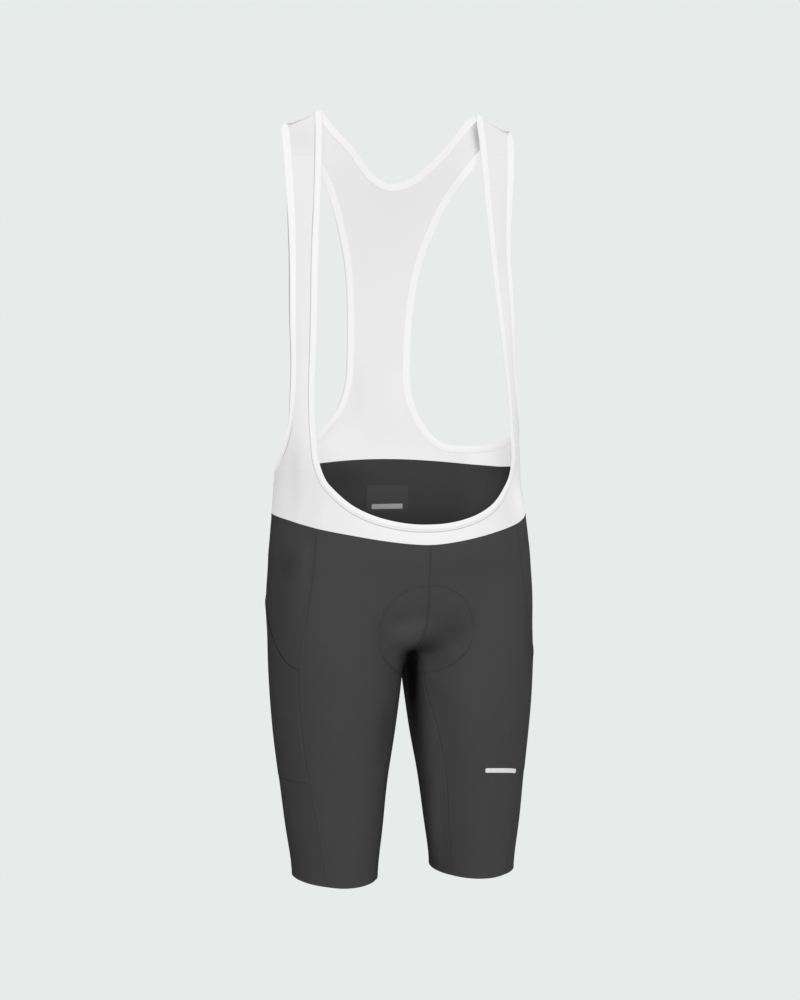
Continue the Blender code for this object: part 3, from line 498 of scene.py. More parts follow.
class Side(Enum):
    """The wearer's two sides: each is drawn as a left one, and the right is mirrored when it is built."""

    LEFT = 0
    RIGHT = 1

    @property
    def label(self) -> str:
        """The side's name in a node."""
        return self.name.lower()

    @property
    def flip(self) -> Array:
        """What turns a left point into this side's point."""
        return MIRROR if self is Side.RIGHT else np.ones(3)


@dataclass
class Cut:
    """The pattern of one half of the garment: its seams and edges, and the grids between them.

    Attributes:
        side: the half it is for, always drawn as a left one.
        figure: the guide form.
        fine: how many cells here stand for one cell of the solids.
        strap_cells: cells of the solids across a strap.
        spine_cells: the same down the net back.
        band_cells: the same across the net band.
        tape_width: visible width of the edge tape.
        tuck: how far the cloth runs on under the tape.
        lines: every seam, edge and rung drawn so far, by name.
    """

    side: Side = Side.LEFT
    figure: Figure = field(default_factory=Figure)
    fine: int = 5
    strap_cells: int = 4
    spine_cells: int = 20
    band_cells: int = 3
    tape_width: float = 9.5 * MM
    tuck: float = 1.6 * MM
    lines: dict[str, Array] = field(default_factory=dict)

    def trace(self, table: Array | Table, stops: Sequence[tuple[int, int]],
              mirror: tuple[bool, bool] = (False, False), loop: bool = False) -> list[Array]:
        """A table's smooth curve laid on the form, one evenly stepped line for each stop.

        Args:
            table: rows of x, y, z in mm.
            stops: pairs of table row and cells.
            mirror: whether the curve meets its own reflection at its start and at its end.
            loop: whether the curve is a loop.

        Returns:
            One line for each stop.
        """
        rows = np.array(table) * MM
        lead = 2 if loop else int(mirror[0])
        if loop:
            rows = np.vstack([rows[-2:], rows, rows[:3]])
        if mirror[0]:
            rows = np.vstack([rows[1] * MIRROR, rows])
        if mirror[1]:
            rows = np.vstack([rows, rows[-2] * MIRROR])
        keys = lengths(rows)
        lines, start = [], lead
        for row, cells in stops:
            end = row + lead
            dense = hermite(keys, rows, np.linspace(keys[start], keys[end], SAMPLES * (end - start) + 1))
            dense = self.figure.settle(dense)
            line = self.figure.settle(evenly(dense, cells * self.fine))
            line[0], line[-1] = dense[0], dense[-1]
            lines.append(line)
            start = end
        return lines

    def worn(self, name: str, table: Table) -> Array:
        """A table's rows as this side wears them."""
        rows = np.array(table, float)
        for row, rise in RISES.get(name, {}).items():
            rows[row, 2] += rise[self.side.value]
        return rows

    def rung(self, start: Array, end: Array, cells: int) -> Array:
        """A straight line between two points in cells of the solids, laid on the form."""
        share = np.linspace(0.0, 1.0, cells * self.fine + 1)[:, None]
        line = self.figure.settle(start + share * (end - start))
        line[0], line[-1] = start, end
        return line

    def patch(self, top: Array, bottom: Array, left: Array, right: Array) -> Array:
        """A grid stretched between four lines that share corners, laid on the form and evened.

        Formula: the two ruled surfaces added together, less the surface through the four corners.
        """
        v = np.linspace(0.0, 1.0, len(left))[:, None, None]
        u = np.linspace(0.0, 1.0, len(top))[None, :, None]
        grid = (1 - v) * top[None] + v * bottom[None] + (1 - u) * left[:, None] + u * right[:, None]
        grid -= (1 - u) * (1 - v) * top[0] + u * (1 - v) * top[-1]
        grid -= (1 - u) * v * bottom[0] + u * v * bottom[-1]
        grid[1:-1, 1:-1] = self.figure.settle(grid[1:-1, 1:-1])
        return relaxed(grid)

    def beside(self, edge: Array, opposite: Array, width: float, loop: bool = False) -> Array:
        """An edge moved into the cloth by a width, at right angles to itself.

        Args:
            edge: the edge's points.
            opposite: a point of the cloth's far side for each of them.
            width: how far to move.
            loop: whether the last point repeats the first.

        Returns:
            The moved line.
        """
        if loop:
            edge = np.vstack([edge[-2:-1], edge, edge[1:2]])
            opposite = np.vstack([opposite[-2:-1], opposite, opposite[1:2]])
        run = unit(np.gradient(edge, axis=0))
        across = opposite - edge
        across = unit(across - (across * run).sum(1)[:, None] * run)
        line = self.figure.settle(edge + width * across)
        if loop:
            line = line[1:-1]
            line[-1] = line[0]
        return line

    def draw_seams(self) -> None:
        """Works out every seam line once, and makes ends that meet one point, so that neighbours share it."""
        s = self.lines
        for names, (table, *stops) in SEAMS.items():
            lines = self.trace(self.worn(names, table), stops, (table in CROSSING, False))
            s.update(zip(names.split(), lines))
        ends = [(name, at) for name in s for at in (0, -1)]
        for k, (name, at) in enumerate(ends):
            for other, end in ends[:k]:
                if np.linalg.norm(s[name][at] - s[other][end]) < WELD_STEP:
                    s[name][at] = s[other][end]
        s["side_front"] = chain(s["front_upper"], s["front_pocket"], s["front_lower"])
        s["side_back"] = chain(s["back_rise"], s["back_upper"], s["back_pocket"], s["back_lower"])
        s["waist"] = chain(s["waist_front"], s["waist_side"])
        s["band"] = chain(s["back_side"], s["side_top"][::-1])
        s["back_edge"] = chain(s["back_middle"], s["back_side"])

    def draw_openings(self) -> None:
        """Works out the neck and armhole edges, and the lines beside them where the tape ends."""
        s, rung = self.lines, self.rung
        neck = self.trace(self.worn("neck", NECK), NECK_STOPS, (True, True))
        arm = self.trace(self.worn("armhole", ARMHOLE), ARMHOLE_STOPS, loop=True)
        for lines in (neck, arm):
            for one, two in zip(lines[:-1], lines[1:]):
                two[0] = one[-1]
        arm[-1][-1] = arm[0][0]
        s["foot"] = self.figure.settle(np.array([SPINE_FOOT]) * MM)
        foot = s["foot"][0]
        yoke = chain(s["yoke_end"], rung(s["yoke_end"][-1], arm[0][0], 1))
        far_neck = chain(s["waist"], yoke, arm[0], arm[1], arm[2], rung(arm[2][-1], foot, self.band_cells))
        far_arm = chain(neck[2], neck[3], neck[4], rung(neck[4][-1], foot, self.spine_cells), s["band"])
        s["neck_edge"], s["arm_edge"] = chain(*neck), chain(*arm)
        for name, width in (("line", self.tape_width), ("tuck", self.tape_width - self.tuck)):
            s[f"neck_{name}"] = self.beside(s["neck_edge"], far_neck, width)
            ends = s["neck_edge"][[0, -1]]
            across = unit((far_neck[[0, -1]] - ends) * ON_MIDDLE)
            s[f"neck_{name}"][[0, -1]] = self.figure.settle(ends + width * across) * ON_MIDDLE
            s[f"arm_{name}"] = self.beside(s["arm_edge"], far_arm, width, loop=True)

    def shorts(self) -> dict[str, list[Patch]]:
        """The patches of half the shorts, by panel."""
        s, patch, flat = self.lines, self.patch, Patch.flat_by_length
        middle_front = chain(s["centre_front"], s["inner_front"])
        middle_back = chain(s["centre_back"], s["inner_back"])
        front = patch(s["waist_front"], s["hem_front"], middle_front, s["side_front"])
        over = chain(s["waist_side"], s["side_level"])
        upper = patch(over, s["opening"], s["front_upper"], s["back_upper"])
        pocket = patch(s["opening"], s["bottom"], s["front_pocket"], s["back_pocket"])
        lower = patch(s["bottom"], s["hem_side"], s["front_lower"], s["back_lower"])
        rise = patch(s["side_top"], s["side_level"], s["yoke_end"][::-1], s["back_rise"])
        back = patch(s["back_edge"], s["hem_back"][::-1], middle_back, s["side_back"])
        inner = patch(s["crotch"], s["hem_inner"], s["inner_front"], s["inner_back"])
        side = relaxed(np.vstack([upper, pocket[1:], lower[1:]]))
        pocket = side[len(upper) - 1:len(upper) + len(pocket) - 1]
        tall = flat(margined(side, "lrt"))
        short = flat(margined(rise, "rt"))
        short.chart += tall.chart[0, -1] - short.chart[-1, -1]
        return {
            "front_panel": [flat(margined(front, "lrt"))],
            "side_panel": [tall, short],
            "pocket": [flat(margined(pocket, "lrtb"))],
            "back_panel": [flat(margined(back, "lrt"))],
            "inner_leg_panel": [flat(margined(inner, "lrt"))],
        }

    def bib(self) -> dict[str, list[Patch]]:
        """The patches of half the bib: the knit front with its strap, and the net back."""
        s, rung, patch, fine = self.lines, self.rung, self.patch, self.fine
        neck, arm, foot = s["neck_tuck"], s["arm_tuck"], s["foot"][0]
        n = fine * np.cumsum([0] + [cells for _, cells in NECK_STOPS])
        a = fine * np.cumsum([0] + [cells for _, cells in ARMHOLE_STOPS])
        ends = [(neck[n[0]], s["waist"][0]), (neck[n[1]], s["waist"][-1]), (neck[n[2]], arm[a[0]]),
                (neck[n[3]], arm[a[1]]), (neck[n[5]], arm[a[3]])]
        rungs = [rung(start, end, self.strap_cells) for start, end in ends]
        side = chain(s["yoke_end"], rung(s["yoke_end"][-1], arm[0], 1))
        spine = rung(neck[n[6]], foot, self.spine_cells)
        fall = rung(foot, s["back_middle"][0], self.band_cells)
        spread = rung(arm[a[4]], s["back_middle"][-1], self.band_cells)
        level = rung(foot, arm[a[4]], (len(s["back_middle"]) - 1) // fine)
        band_end = rung(arm[a[5]], s["yoke_end"][-1], self.band_cells)
        front = [patch(neck[n[0]:n[1] + 1], s["waist"], rungs[0], rungs[1]),
                 patch(neck[n[1]:n[2] + 1], side, rungs[1], rungs[2]),
                 patch(neck[n[2]:n[3] + 1], arm[a[0]:a[1] + 1], rungs[2], rungs[3])]
        over = patch(neck[n[3]:n[5] + 1], arm[a[1]:a[3] + 1], rungs[3], rungs[4])
        back = [patch(chain(neck[n[5]:n[6] + 1][::-1], rungs[4]), level, spine, arm[a[3]:a[4] + 1]),
                patch(level, s["back_middle"], fall, spread),
                patch(arm[a[4]:a[5] + 1], s["band"], spread, band_end)]
        wrap = Patch.flat_by_wrap
        turned = np.moveaxis(over, 0, 1)
        s["shoulder_seam"], s["shoulder_ahead"] = over[:, 0], over[:, 1]
        s["crest"] = over[:, n[4] - n[3]]
        return {
            "bib_front": [wrap(margined(front[0], "b")), wrap(margined(front[1], "b")),
                          wrap(margined(front[2], "br"))],
            "bib_back": [Patch.flat_by_length(margined(turned, "t")), wrap(back[0]),
                         wrap(margined(back[1], "b")), wrap(margined(back[2], "br"))],
        }


def placed(name: str, data: object) -> Object:
    """A new object with this data, linked to the scene."""
    thing = bpy.data.objects.new(name, data)
    bpy.context.scene.collection.objects.link(thing)
    return thing


def marked(count: int, **values: Array | float) -> dict[str, Array]:
    """The marks that the knit finishes read, for a count of points: 0 for those not given, 1 for side."""
    return {name: np.zeros(count) + values.get(name, plain) for name, plain in MARKS.items()}


@dataclass
class Shape:
    """A finished mesh before it becomes an object.

    Attributes:
        points: one row a point, in the tables' place.
        faces: four point numbers a face.
        flat: place of each face corner on the flat cloth, in metres.
        marks: named values for each point, which materials read.
    """

    points: Array
    faces: Array
    flat: Array
    marks: dict[str, Array] = field(default_factory=dict)

    @property
    def area(self) -> float:
        """Area of all faces."""
        return float(np.linalg.norm(face_normals(self.points, self.faces), axis=1).sum() / 2.0)

    @staticmethod
    def shell(outer: Array, inner: Array, faces: Array, flat: Array, **marks: Array) -> "Shape":
        """A closed shell between two skins of the same faces, with more faces round their open sides.

        Args:
            outer: points of the skin whose faces look outward.
            inner: points of the other skin.
            faces: four point numbers a face.
            flat: place of each face corner on the flat cloth.
            marks: marks of the outer and then the inner points.

        Returns:
            The shape.
        """
        count = len(outer)
        edge = np.vstack([faces[:, [k, (k + 1) % 4]] for k in range(4)])
        edge_flat = np.concatenate([flat[:, [k, (k + 1) % 4]] for k in range(4)])
        bare = ~np.isin(edge[:, 0] * count + edge[:, 1], edge[:, 1] * count + edge[:, 0])
        a, b = edge[bare].T
        rim = np.stack([a, a + count, b + count, b], axis=-1)
        return Shape(np.vstack([outer, inner]), np.vstack([faces, faces[:, ::-1] + count, rim]),
                     np.concatenate([flat, flat[:, ::-1], edge_flat[bare][:, [0, 0, 1, 1]]]),
                     marked(2 * count, **marks))

    @staticmethod
    def joined(shapes: Sequence["Shape"]) -> "Shape":
        """Several shapes without marks as one."""
        starts = np.cumsum([0] + [len(shape.points) for shape in shapes[:-1]])
        return Shape(np.vstack([shape.points for shape in shapes]),
                     np.vstack([shape.faces + start for shape, start in zip(shapes, starts)]),
                     np.concatenate([shape.flat for shape in shapes]))

    def to_object(self, name: str, material: Material, sharp: float = 50.0) -> Object:
        """An object at the origin with this mesh, its flat map and its marks.

        Args:
            name: the object's name.
            material: its finish.
            sharp: edges that turn by more than this angle in degrees stay crisp.

        Returns:
            The object.
        """
        mesh = bpy.data.meshes.new(name)
        mesh.from_pydata((self.points - WEAR_POINT).tolist(), [], self.faces.tolist())
        layer = mesh.uv_layers.new(name="cloth")
        layer.uv.foreach_set("vector", self.flat.reshape(-1).astype(np.float32))
        for key, values in self.marks.items():
            mark = mesh.attributes.new(key, "FLOAT", "POINT")
            mark.data.foreach_set("value", values.astype(np.float32))
        mesh.materials.append(material)
        mesh.shade_smooth()
        mesh.set_sharp_from_angle(angle=math.radians(sharp))
        mesh.update()
        return placed(name, mesh)


def face_normals(points: Array, faces: Array) -> Array:
    """Each face's normal, as long as twice its area: the cross product of its diagonals."""
    corner = points[faces]
    return np.cross(corner[:, 2] - corner[:, 0], corner[:, 3] - corner[:, 1])


def cells(rows: int, columns: int, loop_rows: bool = False, loop_columns: bool = False) -> Array:
    """Corner numbers of a grid's cells, with a last cell back to the start on each looped side."""
    index = np.arange(rows * columns).reshape(rows, columns)
    if loop_rows:
        index = np.vstack([index, index[:1]])
    if loop_columns:
        index = np.hstack([index, index[:, :1]])
    corners = [index[:-1, :-1], index[1:, :-1], index[1:, 1:], index[:-1, 1:]]
    return np.stack(corners, axis=-1).reshape(-1, 4)


@dataclass(frozen=True)
class Crease:
    """One soft trough (negative) or ridge (positive) in the cloth; in SHADES, a band of painted shade.

    Attributes:
        start: one end in mm.
        end: the other end in mm.
        width: half width in mm.
        height: rise in mm, negative for a trough.
        bow: how far its middle leaves the straight line, in mm.
    """

    start: Triple
    end: Triple
    width: float
    height: float
    bow: Triple = (0, 0, 0)

    def rise(self, points: Array) -> Array:
        """Height of the crease at each point.

        Formula: with t the share of the way from end to end and d the distance from the bowed middle line,
        the rise is height (1 - (2t - 1)^2)^1.5 exp(-(d / width)^2).
        """
        a, b, bow = (np.array(v) * MM for v in (self.start, self.end, self.bow))
        t = np.clip(((points - a) @ (b - a)) / ((b - a) @ (b - a)), 0.0, 1.0)
        fall = 4.0 * t * (1.0 - t)
        line = a + t[:, None] * (b - a) + fall[:, None] * bow
        return self.height * MM * fall ** 1.5 * bell(np.linalg.norm(points - line, axis=1), self.width * MM)


def summed(creases: Sequence[Crease], points: Array) -> Array:
    """Height of all the creases together at each point."""
    return sum(crease.rise(points) for crease in creases)


@dataclass
class Wall:
    """A thin closed wall of cloth over patches that share edges.

    Attributes:
        patches: its grids, already facing outward.
        low: inner face above the form.
        high: outer face above the form.
        seams: lines along which the cloth dips to a seam.
        dip: how far the outer face drops at a seam.
        dip_width: distance over which it drops.
        sink: how far both faces drop at a seam, for a layer that is sewn down on another.
        relief: rise of both faces at each point, from creases and pressed lines.
        shadow: depth of painted shade at each point, and painted light where it is below 0.
        within: the same for the inner face alone, added to it.
    """

    patches: list[Patch]
    low: float
    high: float
    seams: list[Array]
    dip: float = 0.45 * MM
    dip_width: float = 0.45 * MM
    sink: float = 0.0
    relief: Field | None = None
    shadow: Field | None = None
    within: Field | None = None

    def skin(self) -> tuple[Array, Array, Array]:
        """The welded grids that both faces stand off from: points, faces and each corner's flat place."""
        points = np.vstack([patch.grid.reshape(-1, 3) for patch in self.patches])
        _, first, weld = np.unique(np.round(points / WELD_STEP).astype(np.int64), axis=0,
                                   return_index=True, return_inverse=True)
        weld = weld.reshape(-1)
        faces, flat, start = [], [], 0
        for patch in self.patches:
            corner = cells(*patch.grid.shape[:2])
            faces.append(weld[corner + start])
            flat.append(patch.chart.reshape(-1, 2)[corner])
            start += patch.grid.shape[0] * patch.grid.shape[1]
        return points[first], np.vstack(faces), np.vstack(flat)

    @staticmethod
    def normals(points: Array, faces: Array, figure: Figure) -> Array:
        """Outward direction at every point: the form's slope below the chest, the faces' mean above it."""
        normal = face_normals(points, faces)
        total = np.zeros_like(points)
        for k in range(4):
            np.add.at(total, faces[:, k], normal)
        hold = figure.grip(points)
        return unit(hold * unit(figure.slope(points)) + (1.0 - hold) * unit(total))

    def shape(self, figure: Figure) -> Shape:
        """The wall as a mesh.

        Formula: outer = point + normal (high + rise - (dip + sink) e), inner = point + normal (low + rise
        - sink e), where e = exp(-(d / dip width)^2) and d is the distance to the nearest seam.

        Args:
            figure: the form, for the outward direction.

        Returns:
            The shape, with the marks seam, worth e on the outer face, side, 1 on that face, and shadow.
        """
        points, faces, flat = self.skin()
        normal = self.normals(points, faces, figure)
        count = len(points)
        gap = nearest(points, np.vstack(self.seams)) if self.seams else np.ones(count)
        near = bell(gap, self.dip_width)
        rise, shadow, within = (read(points) if read else np.zeros(count)
                                for read in (self.relief, self.shadow, self.within))
        rise = rise - self.sink * near
        outer = points + normal * (self.high + rise - self.dip * near)[:, None]
        inner = points + normal * (self.low + rise)[:, None]
        return Shape.shell(outer, inner, faces, flat, seam=np.r_[near, np.zeros(count)],
                           side=np.repeat([1.0, 0.0], count), shadow=np.r_[shadow, shadow + within])


@dataclass(frozen=True)
class Tape:
    """Folded stretch tape round an opening: a rounded flat profile carried along a loop.

    Attributes:
        thick: thickness at its middle.
        sink: how far it reaches inside the cloth's inner face.
        sides: points round the profile.
        spread: how evenly they are spread across it, less for more of them at its edges.
        bulge: the profile's two powers, which keep its faces flat and its edges round.
        groove: depth of the line pressed in by the stitch row.
        groove_at: place of that line across the tape, 0 at the opening and 1 at the cloth.
        groove_width: its width as a share of the tape.
        edge_reach: share of the tape over which the shade beside the cloth and along the fold fades.
        line_reach: the same for the shade in the pressed line.
        cloth_mark: share of the finish's seam shade beside the cloth, a painted shadow along the join.
        left_mark: share of that on the wearer's left.
        fold_mark: the same along the fold, painted shade on the turned edge.
        line_mark: the same in the pressed line, painted shade in the groove.
        line_top: height below which that line is shaded, and the cloth side in full.
        fold_top: height below which the fold is shaded.
        back_mark: share of all these shades on the back of the garment.
        front: y where the back ends, and the distance over which the front begins.
        line_fade: height over which the pressed line's shade begins.
        fold_fade: the same for the fold's.
        middle_fade: width over which the shade changes from the right side to the left.
        lift: painted light: how much lighter the tape is made at the front.
    """

    thick: float = 1.9 * MM
    sink: float = 0.55 * MM
    sides: int = 32
    spread: float = 0.6
    bulge: Pair = (5.7, 0.375)
    groove: float = 0.08 * MM
    groove_at: float = 0.70
    groove_width: float = 0.07
    edge_reach: float = 0.12
    line_reach: float = 0.05
    cloth_mark: float = 1.0
    left_mark: float = 0.15
    fold_mark: float = 0.15
    line_mark: float = 0.35
    line_top: float = -0.40
    fold_top: float = 0.10
    back_mark: float = 0.25
    front: Pair = (0.014, 0.012)
    line_fade: float = 0.05
    fold_fade: float = 0.06
    middle_fade: float = 0.06
    lift: float = 0.0

    @staticmethod
    def outward(edge: Array, line: Array, figure: Figure) -> tuple[Array, bool]:
        """Outward direction along the loop, and whether it is the cross product of run and width."""
        run = unit(np.roll(edge, -1, axis=0) - np.roll(edge, 1, axis=0))
        out = unit(np.cross(run, line - edge))
        held = edge[:, 2] < figure.grip_full
        agree = (out * figure.slope((edge + line) / 2.0)).sum(-1)[held].sum() > 0.0
        return (out if agree else -out), bool(agree)

    def level(self, across: Array, upper: Array) -> Array:
        """Height of the surface at a place across the tape, 1 for the outer side and -1 for the inner."""
        height = upper * (1.0 - np.abs(2.0 * across - 1.0) ** self.bulge[0]) ** self.bulge[1]
        pressed = np.where(upper > 0.0, bell(across - self.groove_at, self.groove_width), 0.0)
        return self.thick / 2.0 - self.sink + self.thick / 2.0 * height - self.groove * pressed

    def shape(self, edge: Array, line: Array, figure: Figure) -> Shape:
        """The tape's mesh.

        Formula: round the profile, with angle a, the place across is 0.5 - 0.5 sgn(cos a)|cos a|^spread, and
        the height is (1 - |2 across - 1|^p)^q of half the thickness to either side, with p and q the bulge.

        Args:
            edge: the opening's edge, a loop without its repeated end.
            line: the line beside it where the tape ends.
            figure: the form.

        Returns:
            The shape.
        """
        out, agree = self.outward(edge, line, figure)
        angle = np.linspace(0.0, 2.0 * math.pi, self.sides, endpoint=False)
        across = 0.5 - 0.5 * np.sign(np.cos(angle).round(9)) * np.abs(np.cos(angle)) ** self.spread
        level = self.level(across, np.sign(np.sin(angle).round(6)))
        place = edge[:, None] + across[None, :, None] * (line - edge)[:, None]
        points = place + level[None, :, None] * out[:, None]
        faces = cells(len(edge), self.sides, True, True)
        run = lengths(closed(edge))
        width = np.linalg.norm(line - edge, axis=1).mean()
        turn = np.arange(self.sides + 1) * 2.0 * width / self.sides
        row, column = np.divmod(np.arange(len(faces)), self.sides)
        flat = np.stack([turn[column[:, None] + [0, 0, 1, 1]], run[row[:, None] + [0, 1, 1, 0]]], axis=-1)
        # Painted shade lines beside the cloth, along the fold and in the pressed line go into the seam mark.
        seam, shadow = self.shades(edge, across)
        marks = marked(points.size // 3, seam=seam.reshape(-1), shadow=np.repeat(shadow, self.sides))
        if not agree:
            faces, flat = faces[:, ::-1], flat[:, ::-1]
        return Shape(points.reshape(-1, 3), faces, flat, marks)

    def shades(self, edge: Array, across: Array) -> tuple[Array, Array]:
        """The painted shade of each point of the profile at each point of the loop, and the loop's own
        painted light.

        Formula: a bell at the cloth side, one at the fold and one in the pressed line, each times its share,
        which changes with the height and from side to side, and less at the back.
        """
        x, y, z = edge.T
        front = blend((self.front[0] - y) / self.front[1])
        low = blend((self.line_top - z) / self.line_fade)
        fold = self.fold_mark * blend((self.fold_top - z) / self.fold_fade) * (1.0 - low)
        cloth = self.cloth_mark * (1.0 - (1.0 - self.left_mark) * blend(0.5 + x / self.middle_fade))
        cloth += (1.0 - cloth) * low
        shares = np.stack([cloth, fold, self.line_mark * low], axis=-1)
        bells = np.stack([bell(1.0 - across, self.edge_reach), bell(across, self.edge_reach),
                          bell(across - self.groove_at, self.line_reach)])
        # The second value is painted light at the front, given as a negative shade.
        return shares @ bells * (self.back_mark + (1.0 - self.back_mark) * front)[:, None], -self.lift * front

    def stitch_line(self, edge: Array, line: Array, figure: Figure) -> tuple[Array, Array]:
        """The path in the pressed line, with its outward direction."""
        out, _ = self.outward(edge, line, figure)
        level = self.level(np.array([self.groove_at]), np.array([1.0]))[0]
        return edge + self.groove_at * (line - edge) + level * out, out


@dataclass(frozen=True)
class Stitches:
    """A row of thread stitches, each a small spindle that lies on the cloth.

    Attributes:
        pitch: distance from stitch to stitch.
        length: length of the thread that shows.
        width: width of the thread.
        slant: how far each stitch leans across the row, as a share of its length.
        tip: width of its ends as a share of its middle.
    """

    pitch: float = 2.8 * MM
    length: float = 2.1 * MM
    width: float = 0.55 * MM
    slant: float = 0.0
    tip: float = 0.35

    def shape(self, line: Array, out: Array) -> Shape:
        """All stitches of a row as one mesh.

        Formula: each stitch is three four-sided rings along its run, thin at the ends and stout between.

        Args:
            line: the row's path on the cloth's face.
            out: the outward direction at each of its points.

        Returns:
            The shape.
        """
        run = lengths(line)
        count = max(int(run[-1] / self.pitch), 1)
        at = (np.arange(count) + 0.5) * run[-1] / count
        along = unit(between(at, run, np.gradient(line, axis=0)))
        up = unit(between(at, run, out))
        along = unit(along + self.slant * unit(np.cross(up, along)))
        side = unit(np.cross(up, along))
        reach = np.repeat([-0.5, 0.0, 0.5], 4) * self.length
        stout = np.repeat([self.tip, 1.0, self.tip], 4) * self.width / 2.0
        ring = np.tile([[1.0, 0.0], [0.0, 1.0], [-1.0, 0.0], [0.0, -1.0]], (3, 1)) * stout[:, None]
        local = np.column_stack([reach, ring])
        points = between(at, run, line)[:, None] + local @ np.stack([along, side, up], axis=1)
        one = np.vstack([cells(3, 4, loop_columns=True)[:, ::-1], [[0, 3, 2, 1]], [[8, 9, 10, 11]]])
        faces = (one[None] + 12 * np.arange(count)[:, None, None]).reshape(-1, 4)
        points = points.reshape(-1, 3)
        return Shape(points, faces, points[faces][..., [0, 2]])


class Slot(Enum):
    """The record's material slots."""

    SHORTS = "shorts_knit"
    POCKET = "pocket_knit"
    INNER = "inner_leg_knit"
    BIB = "bib_knit"
    NET = "bib_mesh"
    TAPE = "edge_tape"
    PAD = "pad_foam"


def tint(colour: Sequence[float], share: float = 1.0) -> tuple[float, ...]:
    """A colour's share with full cover."""
    return (*(c * share for c in colour), 1.0)


class Graph:
    """A short way to write a node tree.

    Attributes:
        tree: the tree that is written.
    """

    def __init__(self, tree: NodeTree) -> None:
        """Starts on a tree."""
        self.tree = tree

    def node(self, kind: str, **settings: object) -> Node:
        """A new node of a kind, with settings by name."""
        made = self.tree.nodes.new(kind)
        for name, value in settings.items():
            setattr(made, name, value)
        return made

    def put(self, socket: NodeSocket, value: object) -> None:
        """Links a socket's value, or sets it when it is plain."""
        if isinstance(value, NodeSocket):
            self.tree.links.new(value, socket)
        else:
            socket.default_value = value

    def math(self, operation: str, *values: object) -> NodeSocket:
        """One arithmetic step."""
        made = self.node("ShaderNodeMath", operation=operation)
        for socket, value in zip(made.inputs, values):
            self.put(socket, value)
        return made.outputs[0]

    def remap(self, value: object, low: float, high: float, to_low: float = 0.0,
              to_high: float = 1.0) -> NodeSocket:
        """A smooth step of the value from low..high to another range."""
        made = self.node("ShaderNodeMapRange", interpolation_type="SMOOTHSTEP")
        for socket, setting in zip(made.inputs, (value, low, high, to_low, to_high)):
            self.put(socket, setting)
        return made.outputs[0]

    def mix(self, share: object, first: object, second: object) -> NodeSocket:
        """Two colours mixed by a share."""
        made = self.node("ShaderNodeMix", data_type="RGBA")
        for index, value in ((0, share), (6, first), (7, second)):
            self.put(made.inputs[index], value)
        return made.outputs[2]

    def noise(self, place: object, scale: float, detail: float = 2.0) -> NodeSocket:
        """Cloud-like values round 0.5 at a place."""
        made = self.node("ShaderNodeTexNoise")
        return self.fill(made, Vector=place, Scale=scale, Detail=detail).outputs[0]

    def fill(self, node: Node, **values: object) -> Node:
        """A node with inputs linked or set by name, spaces written as low lines."""
        for name, value in values.items():
            self.put(node.inputs[name.replace("_", " ")], value)
        return node

    def group(self, tree: NodeTree, **values: object) -> Node:
        """A group node with its inputs linked or set by name."""
        return self.fill(self.node("ShaderNodeGroup", node_tree=tree), **values)


def new_group(name: str, inputs: dict[str, tuple[str, object]],
              outputs: dict[str, str]) -> tuple[Graph, dict[str, NodeSocket], dict[str, NodeSocket]]:
    """An empty shader group with named sockets.

    Args:
        name: the group's name.
        inputs: socket kind and plain value by name.
        outputs: socket kind by name.

    Returns:
        The graph, its input values by name and its output sockets by name.
    """
    tree = bpy.data.node_groups.new(name, "ShaderNodeTree")
    for key, (kind, value) in inputs.items():
        socket = tree.interface.new_socket(key, in_out="INPUT", socket_type=f"NodeSocket{kind}")
        if value is not None:
            socket.default_value = value
    for key, kind in outputs.items():
        tree.interface.new_socket(key, in_out="OUTPUT", socket_type=f"NodeSocket{kind}")
    source, sink = tree.nodes.new("NodeGroupInput"), tree.nodes.new("NodeGroupOutput")
    return Graph(tree), {k: source.outputs[k] for k in inputs}, {k: sink.inputs[k] for k in outputs}


def new_material(name: str) -> tuple[Material, Graph, Node]:
    """A new material, with its graph and its shader node."""
    made = bpy.data.materials.new(name)
    made.use_nodes = True
    return made, Graph(made.node_tree), made.node_tree.nodes["Principled BSDF"]


BROAD, FINE = (9.0, 3.0), (1400.0, 1.0)          # scale and detail of tone patches and of fibre speckle
ROUGH, ROUGH_SPREAD = 0.86, 0.25
ROW_STEP = 1.732                                 # a row's step in the net, in columns
HOLE_RIM, HOLE_LIP = 0.06, 0.20                  # how soft a hole's rim is, and where its lip is level


